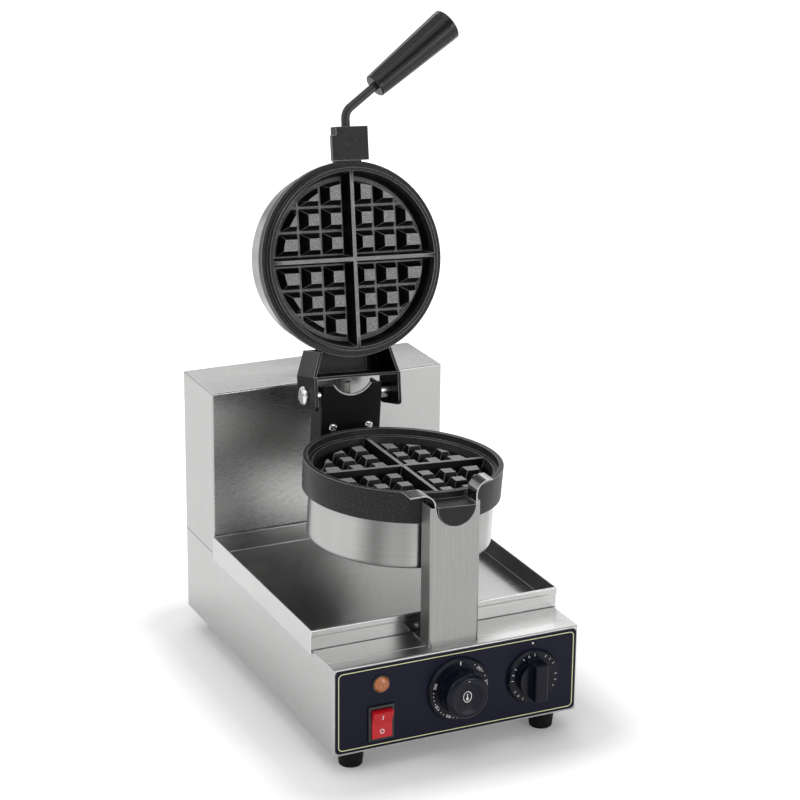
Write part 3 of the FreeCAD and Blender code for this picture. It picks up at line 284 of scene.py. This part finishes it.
def drawn_steel(name, dark, light, rough, wall=(25, 25, 2600), top=(25, 2600, 25), edge=(0.9, 0.9, 0.89), flat=None,
                seam=None, stretch=(0.4, 0.0), fold=0.0007, turned=None):
    """Metal with drawn lines, in two tones, with a painted highlight along its folded edges.

    Wall and top are how finely the lines are drawn along X, Y and Z on the walls and on the level faces. A flat
    tone, where one is given, is painted light: the faces that lie level are drawn lighter, as lit from above. Below
    the height of a seam the sheet is painted dark, as shade. Stretch is how far, and which way, the lines draw out
    a highlight. Fold is how wide the painted highlight along an edge is.
    A turned sheet, given by its centre and axis, has soft bands of painted reflection along its round wall."""
    made, tree, shader = new_material(name)
    lines = place_effect(tree, BRUSHING, Wall_Run=wall, Top_Run=top)
    tone = spread(tree, lines["Lines"], 0.0, 1.0)
    edges = place_effect(tree, EDGE_WEAR_AND_GLINT, Width=fold)
    sheet = blend_colour(tree, tone, dark, light)
    if turned:
        # Painted reflection: light and dark bands multiplied into a turned sheet's tone
        bands = place_effect(tree, PAINTED_REFLECTION, Centre=turned[0], Axis=turned[1], Shift=REFLECTION_SHIFT)["Reflection Band"]
        sheet = blend_colour(tree, 1.0, sheet, bands, "MULTIPLY")
    # Painted light: level faces get a lighter tone of their own, as lit from above
    if flat:
        painted_top_light = blend_colour(tree, tone, tuple(PAINTED_TOP_LOW * c for c in flat), flat)
        sheet = blend_colour(tree, lines["Level"], sheet, painted_top_light)
    # Painted highlight: the folded edges are drawn bright
    shown = blend_colour(tree, edges["Edge"], sheet, edge)
    if seam:
        height = height_of(tree, node(tree, "TexCoord").outputs["Object"])
        shown = blend_colour(tree, maths(tree, "LESS_THAN", height, seam), shown, SEAM_SHADE)
    tree.links.new(shown, shader.inputs["Base Color"])
    patchy = maths(tree, "ADD", spread(tree, lines["Lines"], -STEEL_PATCH, STEEL_PATCH),
                   spread(tree, lines["Cloud"], rough - STEEL_PATCH, rough + STEEL_PATCH))
    tree.links.new(patchy, shader.inputs["Roughness"])
    shader.inputs["Metallic"].default_value = 1.0
    shader.inputs["Anisotropic"].default_value = stretch[0]
    shader.inputs["Anisotropic Rotation"].default_value = stretch[1]
    add_bump(tree, shader, lines["Lines"], strength=0.015, distance=0.0001, rounded=edges["Rounded"])
    return made


def coated(name, colour, flecked, rough, size, bump, edge_colour=None, edge=0.0006, metal=0.0, shine=0.5,
           bare=None, grid=None):
    """A coat or a moulding with a pebbled skin, flecks of another tone, and edges of a third tone: wear or bare
    metal on some, a painted highlight on others.

    Size is how fine the pebbles are, metal is how metallic an edge of wear or glint is, and shine is the strength
    of plain reflections. Bare is the centre, the axis and the radius of a cut notch whose rim has no coat. A grid
    is the centre and the axis of a pan whose flat faces get painted light, pale, while the flanks between them get
    painted shade, black."""
    made, tree, shader = new_material(name)
    skin = place_effect(tree, GRAIN, Size=size)
    paint = blend_colour(tree, skin["Speckle"], colour, flecked)
    # Painted light and shade: the grid's flat faces drawn pale, its flanks black
    if grid:
        faces = place_effect(tree, GRID_LIGHT_AND_SHADE, Centre=grid[0], Axis=grid[1])
        painted_light = blend_colour(tree, skin["Speckle"], PAINTED_LIGHT_LOW, PAINTED_LIGHT_HIGH)
        paint = blend_colour(tree, faces["Painted Shade"], paint, PAINTED_SHADE_BLACK)
        paint = blend_colour(tree, faces["Painted Light"], paint, painted_light)
    # Edges in a third tone: wear or bare metal on some coats, a painted highlight on others
    if edge_colour:
        wear_and_glint = place_effect(tree, EDGE_WEAR_AND_GLINT, Width=edge)["Edge"]
        wear_and_glint = maths(tree, "MULTIPLY", wear_and_glint, remap(tree, skin["Cloud"], 0.35, 0.6, LEAST_WEAR_OR_GLINT, 1.0), True)
        if bare:
            centre, axis, reach = bare
            place = node(tree, "TexCoord").outputs["Object"]
            away = measure(tree, "LENGTH", from_axis(tree, place, centre, axis))
            wear_and_glint = maths(tree, "MAXIMUM", wear_and_glint, maths(tree, "LESS_THAN", away, reach))
        paint = blend_colour(tree, wear_and_glint, paint, edge_colour)
        if metal:
            tree.links.new(maths(tree, "MULTIPLY", wear_and_glint, metal), shader.inputs["Metallic"])
    tree.links.new(paint, shader.inputs["Base Color"])
    tree.links.new(spread(tree, skin["Cloud"], rough - COAT_PATCH, rough + COAT_PATCH), shader.inputs["Roughness"])
    shader.inputs["Specular IOR Level"].default_value = shine
    add_bump(tree, shader, skin["Height"], strength=bump, distance=0.0003)
    return made


def printed(name, colour):
    """Printing ink, a little uneven."""
    made, tree, shader = new_material(name)
    skin = place_effect(tree, GRAIN, Size=2500.0)
    pale = tuple(min(1.0, 1.08 * c) for c in colour)
    tree.links.new(blend_colour(tree, skin["Cloud"], colour, pale), shader.inputs["Base Color"])
    tree.links.new(spread(tree, skin["Cloud"], 0.4, 0.55), shader.inputs["Roughness"])
    return made


def amber_lens():
    """The pilot lamp's lens, faceted in small cells."""
    made, tree, shader = new_material("amber_lens")
    place = node(tree, "TexCoord").outputs["Object"]
    cells = node(tree, "TexVoronoi", None, Vector=place, Scale=620.0).outputs["Distance"]
    amber = blend_colour(tree, remap(tree, cells, 0.1, 0.7, 0.0, 1.0), (0.68, 0.22, 0.04), (0.38, 0.09, 0.01))
    tree.links.new(amber, shader.inputs["Base Color"])
    tree.links.new(remap(tree, cells, 0.0, 0.8, 0.12, 0.25), shader.inputs["Roughness"])
    shader.inputs["Coat Weight"].default_value = 0.5
    add_bump(tree, shader, cells, strength=0.4, distance=0.0006)
    return made


def red_rocker():
    """The glossy red moulding of the rocker switch."""
    made, tree, shader = new_material("red_rocker")
    skin = place_effect(tree, GRAIN, Size=300.0)
    red = blend_colour(tree, skin["Cloud"], (0.58, 0.006, 0.014), (0.68, 0.014, 0.024))
    tree.links.new(red, shader.inputs["Base Color"])
    tree.links.new(spread(tree, skin["Cloud"], 0.14, 0.22), shader.inputs["Roughness"])
    shader.inputs["Specular IOR Level"].default_value = 0.3
    shader.inputs["Coat Weight"].default_value = 0.1
    return made


STEEL = drawn_steel("drawn_steel", steel_grey(0.41), steel_grey(0.49), rough=0.30, flat=steel_grey(0.54))
TRAY_STEEL = drawn_steel("tray_steel", steel_grey(0.44), steel_grey(0.54), rough=0.2, fold=0.0012)
POST_STEEL = drawn_steel("post_steel", steel_grey(0.26), steel_grey(0.34), rough=0.33, wall=(2600, 2600, 25))
# The shrouds are drawn darker than the other steel: painted shade, standing for the dark surroundings they reflect
SHROUD = dict(dark=steel_grey(0.30), light=steel_grey(0.37), rough=0.30, wall=(12, 12, 2200), stretch=(0.9, 0.25))
LOWER_SHROUD = drawn_steel("lower_shroud_steel", turned=LOWER_GRID, **SHROUD)
UPPER_SHROUD = drawn_steel("upper_shroud_steel", turned=UPPER_GRID, **SHROUD)
TOWER_STEEL = drawn_steel("tower_steel", steel_grey(0.39), steel_grey(0.46), rough=0.27, wall=(90, 90, 2600),
                          seam=0.1069, fold=0.0012)
SPRING_STEEL = drawn_steel("spring_steel", steel_grey(0.27), steel_grey(0.36), rough=0.22)
TURNED_STEEL = drawn_steel("turned_steel", (0.40, 0.40, 0.40), (0.52, 0.52, 0.52), rough=0.3)
ZINC = drawn_steel("zinc_plate", (0.62, 0.62, 0.61), (0.78, 0.78, 0.77), rough=0.2, wall=(600, 600, 600))
BRONZE = drawn_steel("sintered_bronze", (0.45, 0.29, 0.12), (0.6, 0.4, 0.18), rough=0.4, edge=(0.7, 0.5, 0.25))
SHEATH = drawn_steel("element_sheath", (0.12, 0.12, 0.12), (0.2, 0.2, 0.19), rough=0.5, edge=(0.3, 0.3, 0.3))
# The pans' edges are drawn pale: partly wear of the coat, partly a painted highlight
COAT = dict(colour=(0.014, 0.014, 0.016), flecked=(0.055, 0.0555, 0.06), rough=0.42, size=1000.0, bump=0.45,
            edge_colour=(0.46, 0.46, 0.465), edge=0.0011, shine=0.2)
LOWER_COAT = coated("lower_pan_coat", grid=LOWER_GRID, **COAT)
UPPER_COAT = coated("upper_pan_coat", grid=UPPER_GRID, **COAT)
BRACKET = coated("black_paint", (0.003, 0.003, 0.0035), (0.006, 0.006, 0.007), rough=0.36, size=500.0, bump=0.12,
                 edge_colour=(0.30, 0.30, 0.30), edge=0.0009, metal=0.9, shine=0.13)
CUT_BRACKET = coated("cut_black_paint", (0.004, 0.004, 0.005), (0.008, 0.008, 0.009), rough=0.34, size=500.0,
                     bump=0.12, edge_colour=(0.8, 0.8, 0.8), edge=0.0010, metal=0.2, shine=0.25, bare=NOTCH)
FASCIA = coated("fascia_film", (0.006, 0.0065, 0.020), (0.009, 0.0095, 0.028), rough=0.34, size=1800.0, bump=0.04,
                shine=0.14)
# The knobs' edges are drawn a lighter bluish grey: a painted highlight on their bevels
KNOB = coated("moulded_knob", (0.003, 0.004, 0.010), (0.005, 0.0065, 0.015), rough=0.27, size=1500.0, bump=0.04,
              edge_colour=(0.06, 0.066, 0.085), edge=0.0008, shine=0.19)
# The grip's edges are drawn lighter: a painted highlight along its flutes
GRIP = coated("moulded_grip", (0.006, 0.006, 0.0065), (0.009, 0.009, 0.010), rough=0.30, size=1300.0, bump=0.05,
              edge_colour=(0.05, 0.05, 0.052), shine=0.36)
ROD_PAINT = coated("rod_paint", (0.012, 0.012, 0.013), (0.02, 0.02, 0.021), rough=0.4, size=900.0, bump=0.1)
RUBBER = coated("foot_rubber", (0.006, 0.006, 0.006), (0.012, 0.012, 0.012), rough=0.62, size=1200.0, bump=0.15,
                shine=0.12)
BEZEL = coated("switch_black", (0.008, 0.008, 0.009), (0.012, 0.012, 0.013), rough=0.32, size=1600.0, bump=0.05)
PALE = coated("pale_moulding", (0.55, 0.53, 0.48), (0.6, 0.58, 0.53), rough=0.5, size=1200.0, bump=0.05)
SLEEVE = coated("glass_sleeve", (0.5, 0.5, 0.48), (0.62, 0.62, 0.6), rough=0.6, size=1600.0, bump=0.3)
AMBER = amber_lens()
RED = red_rocker()
INK = printed("white_ink", (0.9, 0.9, 0.88))
LINE_INK = printed("border_ink", (0.9, 0.9, 0.5))

FINISHES = {
    STEEL: ["base_housing", "bottom_plate", "tower_back_cover", "cover_tabs"],
    TRAY_STEEL: ["drip_tray"],
    TOWER_STEEL: ["tower_housing"],
    POST_STEEL: ["front_post"],
    LOWER_SHROUD: ["lower_shroud"],
    UPPER_SHROUD: ["upper_shroud"],
    SPRING_STEEL: ["saddle_strip"],
    TURNED_STEEL: ["rotor_shaft", "shaft_collar", "bearing_housing", "thermostat_spindle", "timer_spindle"],
    ZINC: ["cover_screws", "post_screws", "bracket_screws", "hinge_screws", "hinge_spacers", "hinge_nuts",
           "lid_screws", "bearing_screws"],
    BRONZE: ["bearing_bush"],
    SHEATH: ["lower_element", "upper_element", "lower_element_clamp", "upper_element_clamp"],
    LOWER_COAT: ["lower_pan"],
    UPPER_COAT: ["upper_pan"],
    BRACKET: ["lid_bracket"],
    CUT_BRACKET: ["lower_bracket"],
    FASCIA: ["control_panel"],
    KNOB: ["temperature_knob", "temperature_knob_cap", "timer_knob"],
    GRIP: ["handle_grip"],
    ROD_PAINT: ["handle_rod"],
    RUBBER: ["foot_front_left", "foot_front_right", "foot_rear_left", "foot_rear_right"],
    BEZEL: ["switch_housing", "lamp_body"],
    PALE: ["thermostat_body", "timer_body", "terminal_block", "cable_gland"],
    SLEEVE: ["wire_sleeve"],
    AMBER: ["lamp_lens"],
    RED: ["rocker_button"],
}
for finish, names in FINISHES.items():
    for name in names:
        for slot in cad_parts[name].material_slots:
            slot.material = finish


# Small pieces
def add_piece(name, mesh, body, finish):
    made = bpy.data.objects.new(name, mesh)
    scene.collection.objects.link(made)
    mesh.materials.append(finish)
    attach(made, body)
    return made


def facing(origin, tip=0.0, turn=0.0):
    """The frame of a face that looks to the user: its own X right, Y up, Z out of the face."""
    return (Matrix.Translation(origin) @ Matrix.Rotation(math.radians(90 + tip), 4, "X")
            @ Matrix.Rotation(math.radians(turn), 4, "Z"))


def mesh_of(name, work):
    mesh = bpy.data.meshes.new(name)
    work.to_mesh(mesh)
    work.free()
    return mesh


def print_shapes(name, shapes, body, finish):
    """Flat ink: each shape is a list of outline points in millimetres, a hole's points or None, and its frame."""
    work = bmesh.new()
    for rim, hole, place in shapes:
        outer, inner = ([work.verts.new(place @ Vector((x * MM, y * MM, 0.0))) for x, y in line or ()]
                        for line in (rim, hole))
        if inner:
            count = len(outer)
            for k in range(count):
                work.faces.new((outer[k], outer[(k + 1) % count], inner[(k + 1) % count], inner[k]))
        else:
            work.faces.new(outer)
    return add_piece(name, mesh_of(name, work), body, finish)


def ellipse(x, y, wide, tall, count):
    """Points round an ellipse, by its two half widths."""
    return [(x + wide * math.cos(2 * math.pi * k / count), y + tall * math.sin(2 * math.pi * k / count))
            for k in range(count)]


def circle(x, y, radius, count=20):
    return ellipse(x, y, radius, radius, count)


def bar(x, y, wide, tall):
    return [(x + a * wide / 2, y + b * tall / 2) for a, b in ((-1, -1), (1, -1), (1, 1), (-1, 1))]


def rounded_rect(wide, tall, radius, count=6):
    points = []
    for cx, cy, start in ((1, 1, 0), (-1, 1, 90), (-1, -1, 180), (1, -1, 270)):
        for k in range(count + 1):
            angle = math.radians(start + 90 * k / count)
            points.append((cx * (wide / 2 - radius) + radius * math.cos(angle),
                           cy * (tall / 2 - radius) + radius * math.sin(angle)))
    return points


def panel_prints():
    """The line round the control panel, and the dot above the timer."""
    wide, tall, corner, line = 241.0, 77.0, 4.5, 0.8
    middle = facing(Vector((0.0, PANEL_Y - INK_LIFT, 0.063)))
    outer = rounded_rect(wide, tall, corner)
    inner = rounded_rect(wide - 2 * line, tall - 2 * line, corner - line)
    print_shapes("fascia_border", [(outer, inner, middle)], "stand", LINE_INK)
    above = facing(Vector((TIMER.x, PANEL_Y - INK_LIFT, 0.097)))
    print_shapes("fascia_dot", [(circle(0.0, 0.0, 1.0), None, above)], "stand", INK)


def numerals(name, numbers, face, radius, size, body):
    """Numbers round a dial, by the radius of their ring and the size of the type in millimetres."""
    work = bmesh.new()
    for text, angle in numbers:
        curve = bpy.data.curves.new(name + "_type", "FONT")
        curve.body = text
        curve.size = size * MM
        curve.align_x = "CENTER"
        curve.align_y = "CENTER"
        curve.resolution_u = 3
        holder = bpy.data.objects.new(name + "_type", curve)
        flat = bpy.data.meshes.new_from_object(holder)
        turn = Matrix.Rotation(math.radians(-angle), 4, "Z")
        flat.transform(face @ turn @ Matrix.Translation((0, radius * MM, 0)))
        work.from_mesh(flat)
        bpy.data.meshes.remove(flat)
        bpy.data.objects.remove(holder)
        bpy.data.curves.remove(curve)
    return add_piece(name, mesh_of(name, work), body, INK)


def temperature_marks():
    """Dots along two arcs of the temperature dial's skirt, a line at its top, and numbers between the dots."""
    ring, dot = 27.2, 0.55
    face = facing(TEMP - Vector((0.0, SKIRT_LIFT, 0.0)))
    arcs = [math.radians(angle) for angle in (*range(178, 282, 8), *range(32, 69, 12))]
    marks = [(circle(ring * math.sin(angle), ring * math.cos(angle), dot, 12), None, face) for angle in arcs]
    marks.append((bar(0.0, 27.0, 0.9, 4.0), None, face))
    print_shapes("temperature_scale", marks, "temperature_dial", INK)
    numbers = [("50", 172), ("100", 205), ("150", 240), ("200", 288), ("250", 46), ("300", 84)]
    numerals("temperature_numbers", numbers, face, 26.6, 4.2, body="temperature_dial")


def timer_marks():
    """Lines round the timer dial's skirt, with numbers between them."""
    skirt = TIMER - Vector((0.0, SKIRT_LIFT, 0.0))
    marks = [(bar(0.0, 22.8, 0.5, 2.6), None, facing(skirt, turn=-angle)) for angle in range(0, 331, 30)]
    print_shapes("timer_scale", marks, "timer_dial", INK)
    numbers = [("0", 345), ("1", 45), ("2", 105), ("3", 165), ("4", 225), ("5", 285)]
    numerals("timer_numbers", numbers, facing(skirt), 22.6, 3.6, body="timer_dial")


def rocker_marks():
    """A bar and a ring on the two slopes of the rocker, which dips in the middle and is tipped at rest."""
    tip, end, dip, proud, out = 8.0, 13.35, 3.2, 6.0, 7.3
    slope = math.atan2(proud - dip, end)
    lift = (dip + (proud - dip) * out / end) * MM + INK_LIFT
    lower, upper = (facing(SWITCH, tip) @ Matrix.Translation((0, side * out * MM, lift))
                    @ Matrix.Rotation(side * slope, 4, "X") for side in SIDES)
    shapes = [(bar(0.0, 0.0, 0.9, 5.0), None, upper), (circle(0.0, 0.0, 2.3), circle(0.0, 0.0, 1.55), lower)]
    print_shapes("rocker_marks", shapes, "rocker", INK)


def cap_emblem():
    """A small thermometer in an oval, printed in the bowl of the temperature cap, and an index mark on its rim."""
    bowl_floor, bowl_depth, bowl_radius = CAP_BOTTOM - 0.0009, 0.0031, 0.0159
    face = facing(TEMP)
    oval, hollow = ellipse(0.0, 0.0, 4.4, 5.6, 36), ellipse(0.0, 0.0, 3.7, 4.9, 36)
    shapes = [(oval, hollow, face), (circle(0.0, -2.2, 1.3), None, face), (bar(0.0, 0.8, 1.0, 4.4), None, face)]
    made = print_shapes("temperature_emblem", shapes, "temperature_dial", INK)
    for corner in made.data.vertices:
        out = math.hypot(corner.co.x - TEMP.x, corner.co.z - TEMP.z)
        corner.co.y = bowl_floor - bowl_depth * (out / bowl_radius) ** 2 - INK_LIFT
    rim = facing(Vector((TEMP.x, KNOB_TOP - INK_LIFT, TEMP.z)))
    index = [(bar(0.0, 16.6, 0.9, 1.0), None, rim)]
    print_shapes("temperature_index", index, "temperature_dial", INK)


def slot_cutter(holder, turn, size, height):
    """A bar across the top of a screw head that cuts its slot."""
    work = bmesh.new()
    place = Matrix.Translation((0, 0, height)) @ Matrix.Rotation(math.radians(turn), 4, "Z") @ Matrix.Diagonal(size)
    bmesh.ops.create_cube(work, size=1.0, matrix=place)
    cutter = bpy.data.objects.new("slot", mesh_of("slot", work))
    scene.collection.objects.link(cutter)
    trim = holder.modifiers.new("slot", "BOOLEAN")
    trim.operation = "DIFFERENCE"
    trim.object = cutter
    trim.solver = "EXACT"
    return cutter


def cross_head(radius, height, shank, length, slot_wide, slot_deep):
    """A domed screw with a crossed slot, by sizes in millimetres; its seat is at zero and its head along +Z."""
    rings, steps = 7, 40
    work = bmesh.new()
    profile = [(0.0, -length), (shank, -length), (shank, 0.0), (radius, 0.0)]
    for k in range(rings + 1):
        angle = 0.5 * math.pi * k / rings
        profile.append((radius * math.cos(angle) ** 0.6, height * (0.35 + 0.65 * math.sin(angle))))
    profile[-1] = (0.0, height)
    verts = [work.verts.new((r * MM, 0.0, z * MM)) for r, z in profile]
    edges = [work.edges.new((verts[k], verts[k + 1])) for k in range(len(verts) - 1)]
    bmesh.ops.spin(work, geom=verts + edges, cent=(0, 0, 0), axis=(0, 0, 1), angle=2 * math.pi, steps=steps,
                   use_merge=True)
    bmesh.ops.remove_doubles(work, verts=work.verts, dist=1e-7)
    bmesh.ops.recalc_face_normals(work, faces=work.faces)
    holder = bpy.data.objects.new("cross_head", mesh_of("cross_head", work))
    scene.collection.objects.link(holder)
    size = (1.5 * radius * MM, slot_wide * MM, 2 * slot_deep * MM, 1)
    cutters = [slot_cutter(holder, turn, size, height * MM) for turn in (0.0, 90.0)]
    bpy.context.view_layer.update()
    done = bpy.data.meshes.new_from_object(holder.evaluated_get(bpy.context.evaluated_depsgraph_get()))
    for item in cutters + [holder]:
        bpy.data.objects.remove(item)
    return done


def screw_set(name, replaced, body, places, pattern):
    """Screws of one pattern at their seats, standing for the plain ones of the frame."""
    work = bmesh.new()
    for place in places:
        one = pattern.copy()
        one.transform(place)
        work.from_mesh(one)
        bpy.data.meshes.remove(one)
    mesh = mesh_of(name, work)
    for face in mesh.polygons:
        face.use_smooth = True
    made = add_piece(name, mesh, body, ZINC)
    split = made.modifiers.new("split", "EDGE_SPLIT")
    split.split_angle = math.radians(35)
    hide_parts(replaced)


def towards(seat, way, turn):
    """The frame of a screw at its seat, with its head along the way given and its slot turned."""
    return (Matrix.Translation(seat) @ Vector(way).to_track_quat("Z", "Y").to_matrix().to_4x4()
            @ Matrix.Rotation(math.radians(turn), 4, "Z"))


def all_screws():
    """The visible screws: the small ones share a head and differ in the length of their shank."""
    small = dict(radius=4.2, height=2.4, shank=2.0, slot_wide=0.9, slot_deep=1.3)
    long_small = cross_head(length=7.0, **small)
    short_small = cross_head(length=1.2, **small)
    foot = cross_head(length=2.7, **small)
    large = cross_head(radius=9.5, height=5.0, shank=5.0, length=21.4, slot_wide=1.8, slot_deep=2.2)
    screw_set("hinge_pan_heads", "hinge_screws", "head",
              [HEAD_PLACE @ towards((side * 0.0463, HINGE.y, HINGE.z), (side, 0, 0), 25) for side in SIDES], large)
    screw_set("bracket_round_heads", "bracket_screws", "head",
              [HEAD_PLACE @ towards((side * 0.0192, BRACKET_FACE, 0.0), (0, -1, 0), 20 - 30 * side)
               for side in SIDES], long_small)
    screw_set("lid_round_heads", "lid_screws", "lid",
              [LID_PLACE @ towards((side * 0.013, -0.031, 0.019), UP, 10 + 20 * side) for side in SIDES],
              long_small)
    screw_set("post_round_heads", "post_screws", "stand",
              [towards((side * 0.0125, -0.151, 0.1075), UP, 30) for side in SIDES], foot)
    screw_set("cover_round_heads", "cover_screws", "stand",
              [towards((side * 0.1158, 0.192, height), (0, 1, 0), 15 * side)
               for side in SIDES for height in (0.12, 0.2595)], short_small)


panel_prints()
temperature_marks()
timer_marks()
rocker_marks()
cap_emblem()
all_screws()


# Stage
def rays_that_show(tree):
    """One for a ray that shows the stage, straight or in metal or glass; zero for one that lights the object."""
    rays = node(tree, "LightPath").outputs
    mirrored = maths(tree, "MAXIMUM", rays["Is Glossy Ray"], rays["Is Transmission Ray"])
    return maths(tree, "MAXIMUM", rays["Is Camera Ray"], mirrored)


def studio_floor():
    """A pale floor that shows white away from the machine and keeps the lamps' shadow beside it, with a painted
    shadow where its glow fades towards the machine's footprint.
    """
    side = 6.0
    footprint = (0.12, 0.185, 0.0)
    mesh = bpy.data.meshes.new("floor")
    mesh.from_pydata([(-side, -side, 0), (side, -side, 0), (side, side, 0), (-side, side, 0)], [], [(0, 1, 2, 3)])
    made = bpy.data.objects.new("floor", mesh)
    scene.collection.objects.link(made)
    finish, tree, shader = new_material("pale_floor")
    shader.inputs["Base Color"].default_value = (0.82, 0.82, 0.82, 1)
    shader.inputs["Roughness"].default_value = 0.9
    shader.inputs["Specular IOR Level"].default_value = 0.0
    shader.inputs["Emission Color"].default_value = (1, 1, 1, 1)
    place = node(tree, "TexCoord").outputs["Object"]
    beyond = vectors(tree, "SUBTRACT", vectors(tree, "ABSOLUTE", place), footprint)
    away = measure(tree, "LENGTH", vectors(tree, "MAXIMUM", beyond, (0, 0, 0)))
    # Painted shadow: the glow is least at the machine's footprint and grows away from it
    far = remap(tree, away, 0.1, 2.4, 0.12, 0.68, "SMOOTHSTEP")
    glow_past_painted_shadow = remap(tree, away, 0.0, 0.12, 0.0, 0.52, "SMOOTHSTEP")
    glow = maths(tree, "MULTIPLY", rays_that_show(tree), maths(tree, "MAXIMUM", far, glow_past_painted_shadow))
    tree.links.new(glow, shader.inputs["Emission Strength"])
    mesh.materials.append(finish)


def soft_lamp(name, place, target, wide, tall, power):
    """A rectangular lamp that looks at a point of the machine."""
    data = bpy.data.lights.new(name, "AREA")
    data.shape = "RECTANGLE"
    data.size = wide
    data.size_y = tall
    data.energy = power
    made = bpy.data.objects.new(name, data)
    scene.collection.objects.link(made)
    made.location = place
    made.rotation_euler = (Vector(target) - Vector(place)).to_track_quat("-Z", "Y").to_euler()


def studio_world():
    """Soft light from a pale room, brighter to the left and overhead, with a white wall behind the floor."""
    world = bpy.data.worlds.new("studio")
    scene.world = world
    world.use_nodes = True
    tree = world.node_tree
    way = node(tree, "TexCoord").outputs["Generated"]
    brightest_side = (-0.62, 0.36, 0.70)
    glow = remap(tree, measure(tree, "DOT_PRODUCT", way, brightest_side), -0.35, 0.85, 0.16, 0.72, "SMOOTHSTEP")
    low = remap(tree, height_of(tree, way), 0.15, 0.3, 1.0, 0.0)
    white = maths(tree, "MULTIPLY", rays_that_show(tree), low)
    tree.links.new(maths(tree, "MAXIMUM", glow, white), tree.nodes["Background"].inputs[1])
    tree.nodes["Background"].inputs[0].default_value = (1, 1, 1, 1)


def photo_camera():
    """The camera that was fitted to the photograph's straight edges."""
    azimuth, elevation, roll = (math.radians(angle) for angle in (25.08, 18.62, 0.566))
    focal_pixels, picture_pixels, sensor = 2413.76, 800.0, 36.0
    back = Vector((-math.sin(azimuth) * math.cos(elevation), -math.cos(azimuth) * math.cos(elevation),
                   math.sin(elevation)))
    right = UP.cross(back).normalized()
    up = back.cross(right)
    right, up = (math.cos(roll) * right + math.sin(roll) * up, math.cos(roll) * up - math.sin(roll) * right)
    data = bpy.data.cameras.new("photo_camera")
    data.sensor_width = sensor
    data.lens = focal_pixels * sensor / picture_pixels
    data.clip_end = 50.0
    made = bpy.data.objects.new("photo_camera", data)
    scene.collection.objects.link(made)
    made.matrix_world = Matrix.Translation((-0.909148, -1.999030, 1.027713)) @ Matrix(
        (right, up, back)).transposed().to_4x4()
    scene.camera = made


studio_floor()
soft_lamp("left_box", (-1.8, 0.2, 1.5), (0, 0, 0.2), wide=1.8, tall=1.6, power=8.5)
soft_lamp("back_box", (0.9, 1.9, 1.9), (0, 0, 0.2), wide=2.4, tall=1.5, power=18)
soft_lamp("top_box", (-0.2, -0.5, 2.4), (0, 0, 0.1), wide=1.6, tall=1.6, power=9)
soft_lamp("front_box", (1.05, -2.3, 0.75), (0, 0, 0.42), wide=1.3, tall=0.9, power=14)
studio_world()
photo_camera()
scene.view_settings.view_transform = "Standard"
